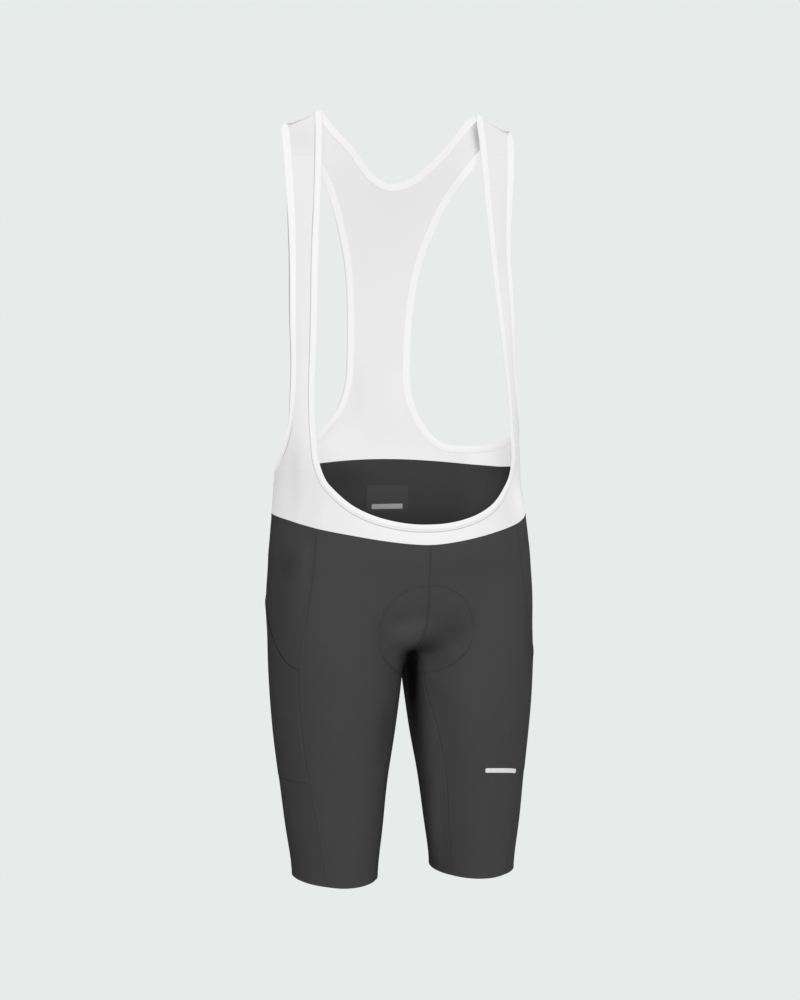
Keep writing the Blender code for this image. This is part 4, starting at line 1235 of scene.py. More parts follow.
class Effects:
    """The node groups that the finishes share, each made once."""

    def __init__(self) -> None:
        """Makes every group."""
        self.knit = self._knit()
        self.tone = self._tone()
        self.net = self._net()

    @staticmethod
    def _knit() -> NodeTree:
        """Height of a knit face: slanted loops in columns.

        Formula: with c the place across columns and r along them, the height is
        |sin pi c|^0.5 (0.6 + 0.4 cos 2 pi (r + 0.5 |2 frac c - 1|)).
        """
        g, given, out = new_group(
            "loop_knit", {"Cloth": ("Vector", None), "Across": ("Float", 1500.0), "Along": ("Float", 1500.0)},
            {"Height": "Float"})
        split = g.node("ShaderNodeSeparateXYZ")
        g.put(split.inputs[0], given["Cloth"])
        c = g.math("MULTIPLY", split.outputs[0], given["Across"])
        r = g.math("MULTIPLY", split.outputs[1], given["Along"])
        column = g.math("SQRT", g.math("ABSOLUTE", g.math("SINE", g.math("MULTIPLY", c, math.pi))))
        lean = g.math("ABSOLUTE", g.math("SUBTRACT", g.math("MULTIPLY", g.math("FRACT", c), 2.0), 1.0))
        phase = g.math("MULTIPLY", g.math("ADD", r, g.math("MULTIPLY", lean, 0.5)), 2.0 * math.pi)
        loop = g.math("ADD", 0.6, g.math("MULTIPLY", g.math("COSINE", phase), 0.4))
        g.put(out["Height"], g.math("MULTIPLY", column, loop))
        return g.tree

    @staticmethod
    def _tone() -> NodeTree:
        """A cloth's colour: patchy stretch, fine fibre speckle, darker seams, and painted shade and light
        from the marks.
        """
        g, given, out = new_group(
            "cloth_tone", {"Colour": ("Color", (0.5, 0.5, 0.5, 1.0)), "Place": ("Vector", None),
                           "Seam": ("Float", 0.0), "Shadow": ("Float", 0.0), "Patches": ("Float", 0.06),
                           "Speckle": ("Float", 0.08), "Seam Shade": ("Float", 0.25)},
            {"Colour": "Color", "Rough": "Float"})
        broad, fine = (g.math("SUBTRACT", g.noise(given["Place"], *scale), 0.5) for scale in (BROAD, FINE))
        total = g.math("ADD", g.math("MULTIPLY", broad, given["Patches"]),
                       g.math("MULTIPLY", fine, given["Speckle"]))
        shade = g.math("MULTIPLY", given["Seam"], given["Seam Shade"])
        level = g.math("MULTIPLY", g.math("SUBTRACT", g.math("ADD", total, 1.0), shade),
                       g.math("SUBTRACT", 1.0, given["Shadow"]))
        scaled = g.node("ShaderNodeVectorMath", operation="SCALE")
        g.put(scaled.inputs[0], given["Colour"])
        g.put(scaled.inputs[3], level)
        g.put(out["Colour"], scaled.outputs[0])
        g.put(out["Rough"], g.math("ADD", ROUGH, g.math("MULTIPLY", broad, ROUGH_SPREAD)))
        return g.tree

    @staticmethod
    def _net() -> NodeTree:
        """Open net: small round holes in offset rows.

        Formula: the distance to the nearest centre of two equal lattices, the second moved by half a step
        both ways.
        """
        g, given, out = new_group(
            "net_holes", {"Cloth": ("Vector", None), "Pitch": ("Float", 2.0 * MM), "Hole": ("Float", 0.28)},
            {"Hole": "Float", "Height": "Float"})
        split = g.node("ShaderNodeSeparateXYZ")
        g.put(split.inputs[0], given["Cloth"])
        x = g.math("DIVIDE", split.outputs[0], given["Pitch"])
        y = g.math("DIVIDE", split.outputs[1], g.math("MULTIPLY", given["Pitch"], ROW_STEP))

        def reach(shift: float) -> NodeSocket:
            """Distance to one lattice's nearest centre, in columns."""
            dx = g.math("SUBTRACT", g.math("FRACT", g.math("ADD", x, shift)), 0.5)
            dy = g.math("SUBTRACT", g.math("FRACT", g.math("ADD", y, shift)), 0.5)
            dy = g.math("MULTIPLY", dy, ROW_STEP)
            return g.math("SQRT", g.math("ADD", g.math("MULTIPLY", dx, dx), g.math("MULTIPLY", dy, dy)))

        near = g.math("MINIMUM", reach(0.0), reach(0.5))
        edge = g.math("SUBTRACT", near, given["Hole"])
        g.put(out["Hole"], g.remap(edge, -HOLE_RIM, HOLE_RIM, 1.0, 0.0))
        g.put(out["Height"], g.remap(edge, -HOLE_RIM, HOLE_LIP))
        return g.tree


@dataclass(frozen=True)
class Knit:
    """A plain knit finish.

    Attributes:
        name: the material's name.
        colour: base colour, linear.
        across: loop columns a metre.
        along: loop rows a metre.
        depth: bump distance of the loops.
        patches: strength of broad tone patches.
        speckle: strength of fine fibre speckle.
        seam_shade: how much darker the cloth is at a seam.
        sheen: strength of the soft fibre glow.
        sheen_rough: its roughness.
        gloss: strength of the plain reflection.
        through: painted glow, emission in the cloth's colour for light coming through it from behind.
        inside: colour of the inner face as a share of the outer: painted shade on the inner face.
        net: pitch of its open holes, or 0 for none.
        net_shade: colour of the holes as a share of the cloth.
    """

    name: str
    colour: Triple
    across: float = 1500.0
    along: float = 1300.0
    depth: float = 0.12 * MM
    patches: float = 0.10
    speckle: float = 0.30
    seam_shade: float = 0.16
    sheen: float = 0.0
    sheen_rough: float = 0.5
    gloss: float = 0.10
    through: float = 0.0
    inside: float = 1.0
    net: float = 0.0
    net_shade: float = 0.7

    def material(self, effects: Effects) -> Material:
        """The finish as a material that reads the flat map and the marks."""
        made, g, shader = new_material(self.name)
        cloth = g.node("ShaderNodeUVMap", uv_map="cloth").outputs[0]
        place = g.node("ShaderNodeTexCoord").outputs["Object"]
        seam, side, shadow = (g.node("ShaderNodeAttribute", attribute_name=name).outputs["Fac"]
                              for name in MARKS)
        # The inner face takes the share inside of the colour: painted shade where it is below 1.
        colour = g.mix(side, tint(self.colour, self.inside), tint(self.colour))
        height = g.group(effects.knit, Cloth=cloth, Across=self.across, Along=self.along).outputs["Height"]
        if self.net > 0.0:
            net = g.group(effects.net, Cloth=cloth, Pitch=self.net)
            colour = g.mix(net.outputs["Hole"], colour, tint(self.colour, self.net_shade))
            height = g.math("MULTIPLY", net.outputs["Height"], g.math("ADD", 1.0, height))
        tone = g.group(effects.tone, Colour=colour, Place=place, Seam=seam, Shadow=shadow,
                       Patches=self.patches, Speckle=self.speckle, Seam_Shade=self.seam_shade)
        bump = g.fill(g.node("ShaderNodeBump"), Strength=1.0, Distance=self.depth, Height=height)
        g.fill(shader, Base_Color=tone.outputs["Colour"], Roughness=tone.outputs["Rough"],
               Normal=bump.outputs[0], Specular_IOR_Level=self.gloss, Sheen_Weight=self.sheen,
               Sheen_Roughness=self.sheen_rough)
        # Painted glow: emission in the cloth's own colour, for light coming through the thin cloth.
        if self.through > 0.0:
            g.fill(shader, Emission_Color=tone.outputs["Colour"], Emission_Strength=self.through)
        return made


@dataclass(frozen=True)
class Thread:
    """A plain twisted thread or print, with faint unevenness.

    Attributes:
        name: the material's name.
        colour: base colour, linear.
        rough: roughness.
        through: painted glow, emission in its colour for light coming through it from behind.
        dim: colour of its darker spots as a share.
        grain: scale and detail of the spots.
        spots: values of the grain where they end and where they are full.
        gloss: strength of the plain reflection.
    """

    name: str
    colour: Triple
    rough: float
    through: float = 0.0
    dim: float = 0.8
    grain: Pair = (900.0, 1.0)
    spots: Pair = (0.3, 0.7)
    gloss: float = 0.3

    def material(self, effects: Effects) -> Material:
        """The finish as a material, which needs none of the shared effects."""
        made, g, shader = new_material(self.name)
        grain = g.noise(g.node("ShaderNodeTexCoord").outputs["Object"], *self.grain)
        tone = g.mix(g.remap(grain, *self.spots), tint(self.colour, self.dim), tint(self.colour))
        g.fill(shader, Base_Color=tone, Roughness=self.rough, Specular_IOR_Level=self.gloss)
        # Painted glow: emission in the thread's own colour.
        if self.through > 0.0:
            g.fill(shader, Emission_Color=tone, Emission_Strength=self.through)
        return made


# Creases in mm, in the tables' place: both ends, half width, rise, and the bow of the middle, if it has one.
CREASES = tuple(Crease(*row) for row in (
    ((6, -98, -598), (58, -92, -568), 7, 0.8, (2, -2, 3)),
    ((5, -84, -622), (66, -86, -600), 8, -0.6, (2, 0, -4)),
    ((10, -66, -640), (52, -84, -648), 6, 0.7, (0, 0, 5)),
    ((-5, -97, -600), (-49, -94, -577), 6, 0.7, (-2, -2, 4)),
    ((-8, -80, -626), (-72, -84, -612), 9, -0.4, (0, 0, -3)),
    ((-12, -60, -646), (-44, -84, -661), 6, 0.8, (0, 0, 4)),
    ((30, 110, -640), (88, 100, -652), 9, -1.3, (0, 4, -5)),
    ((22, 96, -655), (70, 98, -676), 7, 0.9, (0, 3, -4)),
    ((40, 92, -684), (96, 86, -672), 8, -0.8, (0, 3, -3)),
    ((-26, 110, -643), (-94, 98, -658), 10, -1.4, (0, 4, -6)),
    ((-20, 96, -662), (-62, 98, -671), 6, 0.8, (0, 3, -4)),
    ((-48, 92, -690), (-90, 86, -684), 8, -0.7, (0, 3, -2)),
    ((-118, -72, -445), (-122, -68, -498), 7, 1.1, (-4, 0, 0)),
    ((-135, -55, -445), (-136, -52, -520), 9, -1.1, (-5, 0, 0)),
    ((124, -66, -470), (131, -56, -530), 9, 0.5, (4, 0, 0)),
    ((22, 98, -300), (26, 104, -372), 9, 0.3, (3, 1, 0)),
    ((-24, 96, -290), (-20, 104, -380), 10, -0.3, (-3, 1, 0)),
    ((-60, 96, -395), (-25, 105, -408), 8, -0.25, (0, 2, 2)),
    ((120, -70, -700), (96, -76, -752), 12, 0.6, (3, -2, 0)),
    ((-112, -72, -690), (-92, -78, -738), 12, 0.6, (-3, -2, 0)),
    ((60, -40, -700), (40, -10, -716), 8, -0.7, (4, -6, 3)),
    ((-58, -44, -696), (-36, -6, -708), 7, -0.8, (-4, -6, 3)),
))

# Painted shades in the same form: the rise stands for a depth of painted shade, and is negative for painted
# light.
SHADES = tuple(Crease(*row) for row in (
    ((2, -15, -615), (10, -5, -785), 18, 0.9),
    ((-6, -54, -627), (10, -8, -677), 8, 1.1),
    ((2, -38, -645), (8, -4, -715), 10, 0.55),
    ((32, -58, -655), (42, -50, -690), 13, -0.18),
    ((36, -20, -820), (40, -14, -912), 14, -0.35),
    ((-42, -72, -685), (-47, -62, -785), 13, 0.17),
    ((136, -62, -560), (136, -66, -700), 13, 0.15),
    ((-150, -30, -515), (-150, -30, -560), 18, 0.16),
    ((-34, -92, -598), (-31, -76, -634), 14, -0.38),
    ((17, -50, -645), (28, -34, -690), 9, -0.25),
    ((64, -80, -560), (62, -70, -800), 30, -0.1),
    ((-42, 104, -425), (-42, 100, -465), 26, 0.2),
    ((-6, -94, -588), (-20, -54, -664), 19, -0.8),
    ((12, -92, -590), (30, -66, -655), 14, -0.15),
    ((94, 14, 4), (112, 27, -66), 6, 0.5),
    ((-96, 12, -30), (-156, 14, -42), 16, 0.05),
    ((-139, -22, -378), (-141, -32, -496), 9, 0.09, (-2, 0, 0)),
    ((-124, -48, -420), (-126, -58, -500), 7, 0.03, (2, 0, 0)),
    ((-135, -52, -486), (-137, -52, -570), 5, -0.12),
    ((-150, -26, -486), (-152, -30, -640), 14, 0.1),
    ((16, -46, -640), (38, -20, -950), 17, -0.55),
    ((-140, 62, -410), (158, 30, -424), 20, -0.035, (0, 62, 0)),
    ((104, 82, -412), (150, 45, -430), 20, -0.08),
    ((-131, -15, -230), (-131, -50, -440), 22, -0.05),
    ((131, -10, -170), (131, -50, -440), 22, -0.075),
    ((128, -56, -425), (150, -30, -505), 24, -0.24, (4, -6, 0)),
    ((-118, -68, -478), (124, -66, -486), 20, -0.09, (0, -42, -18)),
    ((-112, 78, -392), (-8, 106, -404), 18, -0.06, (0, 12, 0)),
))

# The same for the shorts' inner face alone, where light falls through the neck.
INNER_SHADES = (
    Crease((152, 34, -424), (108, 84, -532), 27, -0.62),
)


@dataclass
class Kit:
    """What the sub-assemblies share.

    Attributes:
        cuts: the pattern of each side.
        materials: the finish of each slot, and of the threads and prints, by name.
        pad_line: the seat pad's stitched outline on the left half.
        pad_press: how far that outline draws the cloth in.
        pad_press_width: distance over which it does.
        pad_shade: depth of the shade in that line.
        pad_reach: reach of that shade.
        fold_shade: depth of the shade in a trough 1 mm deep.
        fold_range: height of a ridge and depth of a trough in mm past which that no longer grows.
        deepest: the most that shade may take away.
    """

    cuts: dict[Side, Cut]
    materials: dict[str, Material]
    pad_line: Array
    pad_press: float = 0.35 * MM
    pad_press_width: float = 2.2 * MM
    pad_shade: float = 0.13
    pad_reach: float = 1.1 * MM
    fold_shade: float = 0.10
    fold_range: Pair = (-0.6, 1.5)
    deepest: float = 0.96

    @property
    def figure(self) -> Figure:
        """The guide form."""
        return self.cuts[Side.LEFT].figure

    def relief(self, points: Array) -> Array:
        """Rise of the cloth from all creases, less the pressed outline of the seat pad."""
        return summed(CREASES, points) - self.pad_press * bell(self.off_pad(points), self.pad_press_width)

    def off_pad(self, points: Array) -> Array:
        """Distance of each point from the pad's outline."""
        return nearest(points * np.where(points[:, :1] < 0.0, MIRROR, 1.0), finer(self.pad_line))

    def shadow(self, points: Array) -> Array:
        """Depth of painted shade at each point, and painted light where it is below 0.

        Formula: fold shade times the depth of the troughs in mm, plus the soft shades' own depths and the
        pad's line.
        """
        folds = self.fold_shade * np.clip(-summed(CREASES, points) / MM, *self.fold_range)
        soft = summed(SHADES, points) / MM + self.pad_shade * bell(self.off_pad(points), self.pad_reach)
        return np.minimum(folds + soft, self.deepest)

    @staticmethod
    def within(points: Array) -> Array:
        """Depth of soft shade that the inner face has on top of that."""
        return summed(INNER_SHADES, points) / MM

    def grids(self, side: Side, patches: Sequence[Patch]) -> list[Patch]:
        """A side's patches in their place, facing outward."""
        out = [patch.turned(self.figure) for patch in patches]
        return out if side is Side.LEFT else [patch.mirrored() for patch in out]

    def lines(self, side: Side, names: Sequence[str]) -> list[Array]:
        """A side's seam lines in their place, finely stepped."""
        return [finer(self.cuts[side].lines[name]) * side.flip for name in names]

    def dress(self, name: str, shape: Shape, finish: str, slot: Slot, node: str = "",
              cut: Sequence[float | None] = ()) -> Object:
        """Args:
            name: the piece's name.
            shape: its mesh.
            finish: the name of its material.
            slot: the record's slot; not used.
            node: the solid it stands for.
            cut: width, length and area of its flat cut, where it is a sheet.

        Returns:
            The object.
        """
        thing = shape.to_object(name, self.materials[finish])
        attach(thing, "root")
        if node:
            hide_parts(node)
        if cut:
            tuple(cut[:2])
            log.info("%s: cut %.3f x %.3f m, worn area %.4f m2", name, *cut[:2], shape.area / 2.0)
        log.info("%s: %d faces", name, len(shape.faces))
        return thing


@dataclass
class Shorts:
    """The dark lower part: front, side, back and inner leg panels, and the pocket layers.

    Attributes:
        wall: thickness of the shorts' knit.
        pocket_low: inner face of the pocket layer above the form.
        pocket_high: its outer face.
        pocket_sink: how far its sewn sides are drawn down.
        pocket_gape: how far its open edge stands off.
        pocket_reach: distance over which it does.
        pocket_ends: distance from its sewn ends over which it begins to.
        cuts: width, length and area of each panel's flat cut.
        seams: the lines where each panel is sewn.
        finishes: finish and slot of the panels that don't have the shorts' own.
    """

    wall: float = 1.1 * MM
    pocket_low: float = 1.13 * MM
    pocket_high: float = 1.50 * MM
    pocket_sink: float = 0.40 * MM
    pocket_gape: float = 0.12 * MM
    pocket_reach: float = 14.0 * MM
    pocket_ends: float = 25.0 * MM
    cuts: dict[str, Triple] = field(default_factory=lambda: {
        "front_panel": (0.153, 0.433, 0.0437), "side_panel": (0.144, 0.473, 0.0468),
        "pocket": (0.144, 0.216, 0.0181), "back_panel": (0.168, 0.520, 0.0530),
        "inner_leg_panel": (0.091, 0.274, 0.0201)})
    seams: dict[str, tuple[str, ...]] = field(default_factory=lambda: {
        "front_panel": ("waist_front", "centre_front", "inner_front", "side_front"),
        "side_panel": ("waist_side", "yoke_end", "side_top", "side_front", "side_back"),
        "pocket": ("front_pocket", "back_pocket", "bottom"),
        "back_panel": ("back_edge", "centre_back", "inner_back", "side_back"),
        "inner_leg_panel": ("crotch", "inner_front", "inner_back")})
    finishes: dict[str, tuple[str, Slot]] = field(default_factory=lambda: {
        "pocket": ("pocket", Slot.POCKET), "inner_leg_panel": ("inner_leg", Slot.INNER)})

    def pocket_relief(self, kit: Kit, side: Side) -> Field:
        """The shared creases, with the pocket's open edge standing off between its sewn ends.

        Formula: gape exp(-(d / reach)^2) times a smooth step over the first stretch from the nearer sewn end.
        """
        opening, = kit.lines(side, ["opening"])

        def rise(points: Array) -> Array:
            """Rise of the pocket layer at each point."""
            gape = self.pocket_gape * bell(nearest(points, opening), self.pocket_reach)
            return kit.relief(points) + gape * blend(nearest(points, opening[[0, -1]]) / self.pocket_ends)

        return rise

    def cloth(self, kit: Kit, side: Side, name: str, patches: Sequence[Patch]) -> Wall:
        """One panel's wall."""
        shared = {"patches": kit.grids(side, patches), "seams": kit.lines(side, self.seams[name]),
                  "shadow": kit.shadow, "within": kit.within}
        if name == "pocket":
            return Wall(low=self.pocket_low, high=self.pocket_high, sink=self.pocket_sink,
                        relief=self.pocket_relief(kit, side), **shared)
        return Wall(low=0.0, high=self.wall, relief=kit.relief, **shared)

    def build(self, kit: Kit) -> None:
        """Makes every panel on both sides."""
        halves = {side: cut.shorts() for side, cut in kit.cuts.items()}
        for name, cut in self.cuts.items():
            finish, slot = self.finishes.get(name, ("shorts", Slot.SHORTS))
            for side, panels in halves.items():
                label = f"{name}_{side.label}"
                shape = self.cloth(kit, side, name, panels[name]).shape(kit.figure)
                kit.dress(f"{label}_cloth", shape, finish, slot, label, cut)


@dataclass
class Bib:
    """The white upper part: the knit front with its straps, and the net back.

    Attributes:
        wall: thickness of both cloths.
        front_cut: width, length and area of the knit front's flat cut.
        back_cut: the same of the net back.
        seam_dip: how far the cloth dips at its seams.
        crest_shade: depth of the fine shade where the straps fold over the shoulders.
        crest_reach: distance over which it fades.
    """

    wall: float = 1.0 * MM
    front_cut: Triple = (0.245, 0.430, 0.0318)
    back_cut: Triple = (0.280, 0.430, 0.0368)
    seam_dip: float = 0.15 * MM
    crest_shade: float = 0.38
    crest_reach: float = 1.6 * MM

    def shadow(self, kit: Kit) -> Field:
        """The shared shades, with the fine shade on both crests."""
        crests = np.vstack([kit.lines(side, ["crest"])[0] for side in Side])

        def depth(points: Array) -> Array:
            """Depth of shade at each point."""
            return kit.shadow(points) + self.crest_shade * bell(nearest(points, crests), self.crest_reach)

        return depth

    def build(self, kit: Kit) -> None:
        """Makes both pieces, each in one across the middle."""
        halves = {side: cut.bib() for side, cut in kit.cuts.items()}
        pieces = (("bib_front", Slot.BIB, self.front_cut, ("waist",)),
                  ("bib_back", Slot.NET, self.back_cut, ("back_edge", "side_top")))
        for name, slot, cut, seams in pieces:
            grids = [grid for side in Side for grid in kit.grids(side, halves[side][name])]
            lines = [line for side in Side for line in kit.lines(side, (*seams, "yoke_end", "shoulder_seam"))]
            cloth = Wall(grids, 0.0, self.wall, lines, self.seam_dip, relief=kit.relief,
                         shadow=self.shadow(kit))
            kit.dress(f"{name}_cloth", cloth.shape(kit.figure), name, slot, name, cut)


@dataclass
class EdgeTapes:
    """The folded edge tapes and their stitch rows.

    Attributes:
        tape: the profile.
        row: the stitches along it.
        shown: width of the tape that shows, its rounded edges with it.
        stretch: length of the worn tape as a share of its cut.
        armhole_folds: shade along the fold of the left and the right armhole tape.
        armhole_cloth: their shade beside the cloth.
        armhole_lift: painted light: how much lighter they are made at the front.
        armhole_tops: heights where the shade of the cloth side and of the fold starts.
    """

    tape: Tape = Tape()
    row: Stitches = Stitches(2.6 * MM, 1.9 * MM, 0.5 * MM)
    shown: float = 0.011
    stretch: float = 1.08
    armhole_folds: Pair = (0.4, 1.6)
    armhole_cloth: float = 0.10
    armhole_lift: float = 0.035
    armhole_tops: Pair = (-0.34, -0.09)

    def build(self, kit: Kit) -> None:
        """Makes the neck tape, both armhole tapes and their threads."""
        left, right = (kit.cuts[side].lines for side in Side)
        neck = [np.vstack([left[name], (right[name] * MIRROR)[-2:0:-1]])
                for name in ("neck_edge", "neck_line")]
        loops = {"neck_tape": ("neck_binding", neck, self.tape)}
        for side, fold in zip(Side, self.armhole_folds):
            arm = [kit.cuts[side].lines[name][:-1] * side.flip for name in ("arm_edge", "arm_line")]
            tape = replace(self.tape, cloth_mark=self.armhole_cloth, fold_mark=fold, lift=self.armhole_lift,
                           line_top=self.armhole_tops[0], fold_top=self.armhole_tops[1])
            loops[f"armhole_tape_{side.label}"] = (f"armhole_binding_{side.label}", arm, tape)
        rows = []
        for name, (node, (start, end), tape) in loops.items():
            length = float(lengths(closed(start))[-1]) / self.stretch
            kit.dress(name, tape.shape(start, end, kit.figure), "tape", Slot.TAPE, node,
                      (self.shown, round(length, 3), None))
            rows.append(self.row.shape(*map(closed, tape.stitch_line(start, end, kit.figure))))
        kit.dress("tape_threads", Shape.joined(rows), "white_thread", Slot.TAPE)


@dataclass
class SeamThreads:
    """Joined rows of thread beside the seams.

    Attributes:
        flat_row: the dark rows of the flat seams.
        edge_shadow_row: the close near-black row along the pocket's open edge: stitching that also paints the
            shadow under it.
        pad_row: the dots that hold the seat pad.
        white_row: the rows on the white cloth.
        aside: distance of a row from its seam.
        level: height of a row's middle above the form.
        pad_level: the same for the pad's dots.
        edge_aside: distance of the pocket's edge row above its opening.
        edge_level: its height above the form.
        inner_level: height of the rows on the inner face.
        white_level: height of the white rows above the strap's inner face.
    """

    flat_row: Stitches = Stitches(2.6 * MM, 1.6 * MM, 0.32 * MM, 0.35)
    edge_shadow_row: Stitches = Stitches(2.2 * MM, 2.6 * MM, 1.0 * MM)
    pad_row: Stitches = Stitches(2.9 * MM, 1.7 * MM, 0.85 * MM)
    white_row: Stitches = Stitches(3.2 * MM, 2.2 * MM, 0.50 * MM)
    aside: float = 1.1 * MM
    level: float = 1.06 * MM
    pad_level: float = 0.95 * MM
    edge_aside: float = 0.45 * MM
    edge_level: float = 1.30 * MM
    inner_level: float = -0.10 * MM
    white_level: float = 1.0 * MM

    def row(self, kit: Kit, line: Array, aside: float, stitches: Stitches, level: float) -> Shape:
        """A row beside a seam on the form.

        Args:
            kit: the shared pattern and creases.
            line: the seam.
            aside: distance to the left of its run, seen from outside, negative to the right.
            stitches: the kind of stitch.
            level: height above the form.

        Returns:
            The row's shape.
        """
        line = finer(line, 2)
        out = unit(kit.figure.slope(line))
        moved = kit.figure.settle(line + aside * unit(np.cross(out, np.gradient(line, axis=0))))
        out = unit(kit.figure.slope(moved))
        return stitches.shape(moved + out * (level + kit.relief(moved))[:, None], out)

    def build(self, kit: Kit) -> None:
        """Makes the dark seam rows, the pad's dots and the white rows."""
        dark, edge, dots, white = [], [], [], []
        for side, cut in kit.cuts.items():
            s, flip = cut.lines, side.flip
            hand = float(flip[0])
            back = chain(s["back_upper"], s["back_pocket"], s["back_lower"])
            beside = [(line, way) for line in (s["inner_front"], s["side_front"], s["inner_back"], back)
                      for way in (-1.0, 1.0)]
            beside += [(s["bottom"], 0.0), (s["centre_front"], hand), (s["centre_back"], hand),
                       (s["waist"], -hand), (s["back_edge"], -hand)]
            dark += [self.row(kit, line * flip, way * self.aside, self.flat_row, self.level)
                     for line, way in beside]
            # Near-black row along the pocket's opening: a stitch row that stands in for the shadow under its
            # edge.
            above = hand * self.edge_aside
            edge.append(self.row(kit, s["opening"] * flip, above, self.edge_shadow_row, self.edge_level))
            inside = chain(s["back_rise"], s["back_upper"][:len(s["back_upper"]) // 3])
            edge.append(self.row(kit, inside * flip, 0.0, self.flat_row, self.inner_level))
            dots.append(self.row(kit, kit.pad_line * flip, 0.0, self.pad_row, self.pad_level))
            seam, ahead = s["shoulder_seam"] * flip, s["shoulder_ahead"] * flip
            out = unit(np.cross(np.gradient(seam, axis=0), ahead - seam))
            out *= np.sign((out * np.array([0.0, -1.0, 1.0])).sum())
            step = self.aside * unit(ahead - seam)
            white += [self.white_row.shape(seam + way * step + self.white_level * out, out)
                      for way in (-1.0, 1.0)]
        kit.dress("seam_threads", Shape.joined(dark), "dark_thread", Slot.SHORTS)
        kit.dress("pocket_threads", Shape.joined(edge), "seam_and_edge_shadow_thread", Slot.POCKET)
        kit.dress("pad_threads", Shape.joined(dots), "pad_thread", Slot.SHORTS)
        kit.dress("shoulder_threads", Shape.joined(white), "white_thread", Slot.BIB)


@dataclass
class SeatPad:
    """The moulded pad inside the crotch.

    Attributes:
        clear: space between the panels and the pad's outer face.
        edge: thickness at its stitched outline.
        centre: thickness along its middle.
        side_bevel: share of its half width over which it thins.
        end_bevel: share of its length over which each end thins.
        steps: cells along it.
        across: cells over half its width.
        channels: place over the half width, width and depth of each moulded channel, depth in mm.
        channel_ends: share of the length where the channels begin, and over which they do.
        hem: share of the half width, and of the length, over which the pad comes up to the panels.
        touch: space left there.
        fill: how much of its case the foam fills; not used.
    """

    clear: float = 3.0 * MM
    edge: float = 1.6 * MM
    centre: float = 6.5 * MM
    side_bevel: float = 0.45
    end_bevel: float = 0.2
    steps: int = 24
    across: int = 6
    channels: tuple[Triple, ...] = ((0.0, 0.09, 1.6), (0.52, 0.06, 1.1), (0.74, 0.05, 0.6))
    channel_ends: Pair = (0.08, 0.12)
    hem: Pair = (0.12, 0.05)
    touch: float = 0.05 * MM
    fill: float = 0.9

    def grid(self, cut: Cut) -> Array:
        """The left half, from the front end to the back, and from the middle to the outline."""
        middle, edge = (cut.trace(table, [(len(table) - 1, self.steps)])[0]
                        for table in (PAD_MIDDLE, PAD_OUTLINE))
        ends = (cut.rung(middle[at], edge[at], self.across) for at in (0, -1))
        return cut.patch(middle, edge, *ends)

    def build(self, kit: Kit, grid: Array) -> None:
        """Makes the pad: an outer face sewn up to the panels, and a moulded inner face.

        Formula: with v from the middle to the outline and e the share of the length from the nearer end, the
        thickness is edge + (centre - edge) steps in v and e, less a bell in v for each channel.
        """
        v = np.linspace(0.0, 1.0, grid.shape[0])[:, None]
        u = np.linspace(0.0, 1.0, grid.shape[1])[None, :]
        end = np.minimum(u, 1.0 - u)
        rise = blend((1.0 - v) / self.side_bevel) * blend(end / self.end_bevel)
        depth = self.edge + (self.centre - self.edge) * rise
        start, over = self.channel_ends
        for at, width, deep in self.channels:
            depth = depth - deep * MM * bell(v - at, width) * blend((end - start) / over)
        clear = self.clear * blend((1.0 - v) / self.hem[0]) * blend(end / self.hem[1]) + self.touch
        out = unit(kit.figure.slope(grid))
        left = Patch.flat_by_length(grid)
        chart = np.vstack([(left.chart * np.array([1.0, -1.0]))[:0:-1], left.chart])
        whole, outer, inner = (np.vstack([(skin * MIRROR)[:0:-1], skin]) for skin in (
            grid, grid - out * clear[..., None], grid - out * (self.clear + depth)[..., None]))
        patch = Patch(whole, chart)
        faces = cells(*whole.shape[:2])
        if patch.turned(kit.figure) is not patch:
            faces = faces[:, ::-1]
        shape = Shape.shell(outer.reshape(-1, 3), inner.reshape(-1, 3), faces, chart.reshape(-1, 2)[faces])
        kit.dress("seat_pad_foam", shape, "pad", Slot.PAD, "seat_pad")


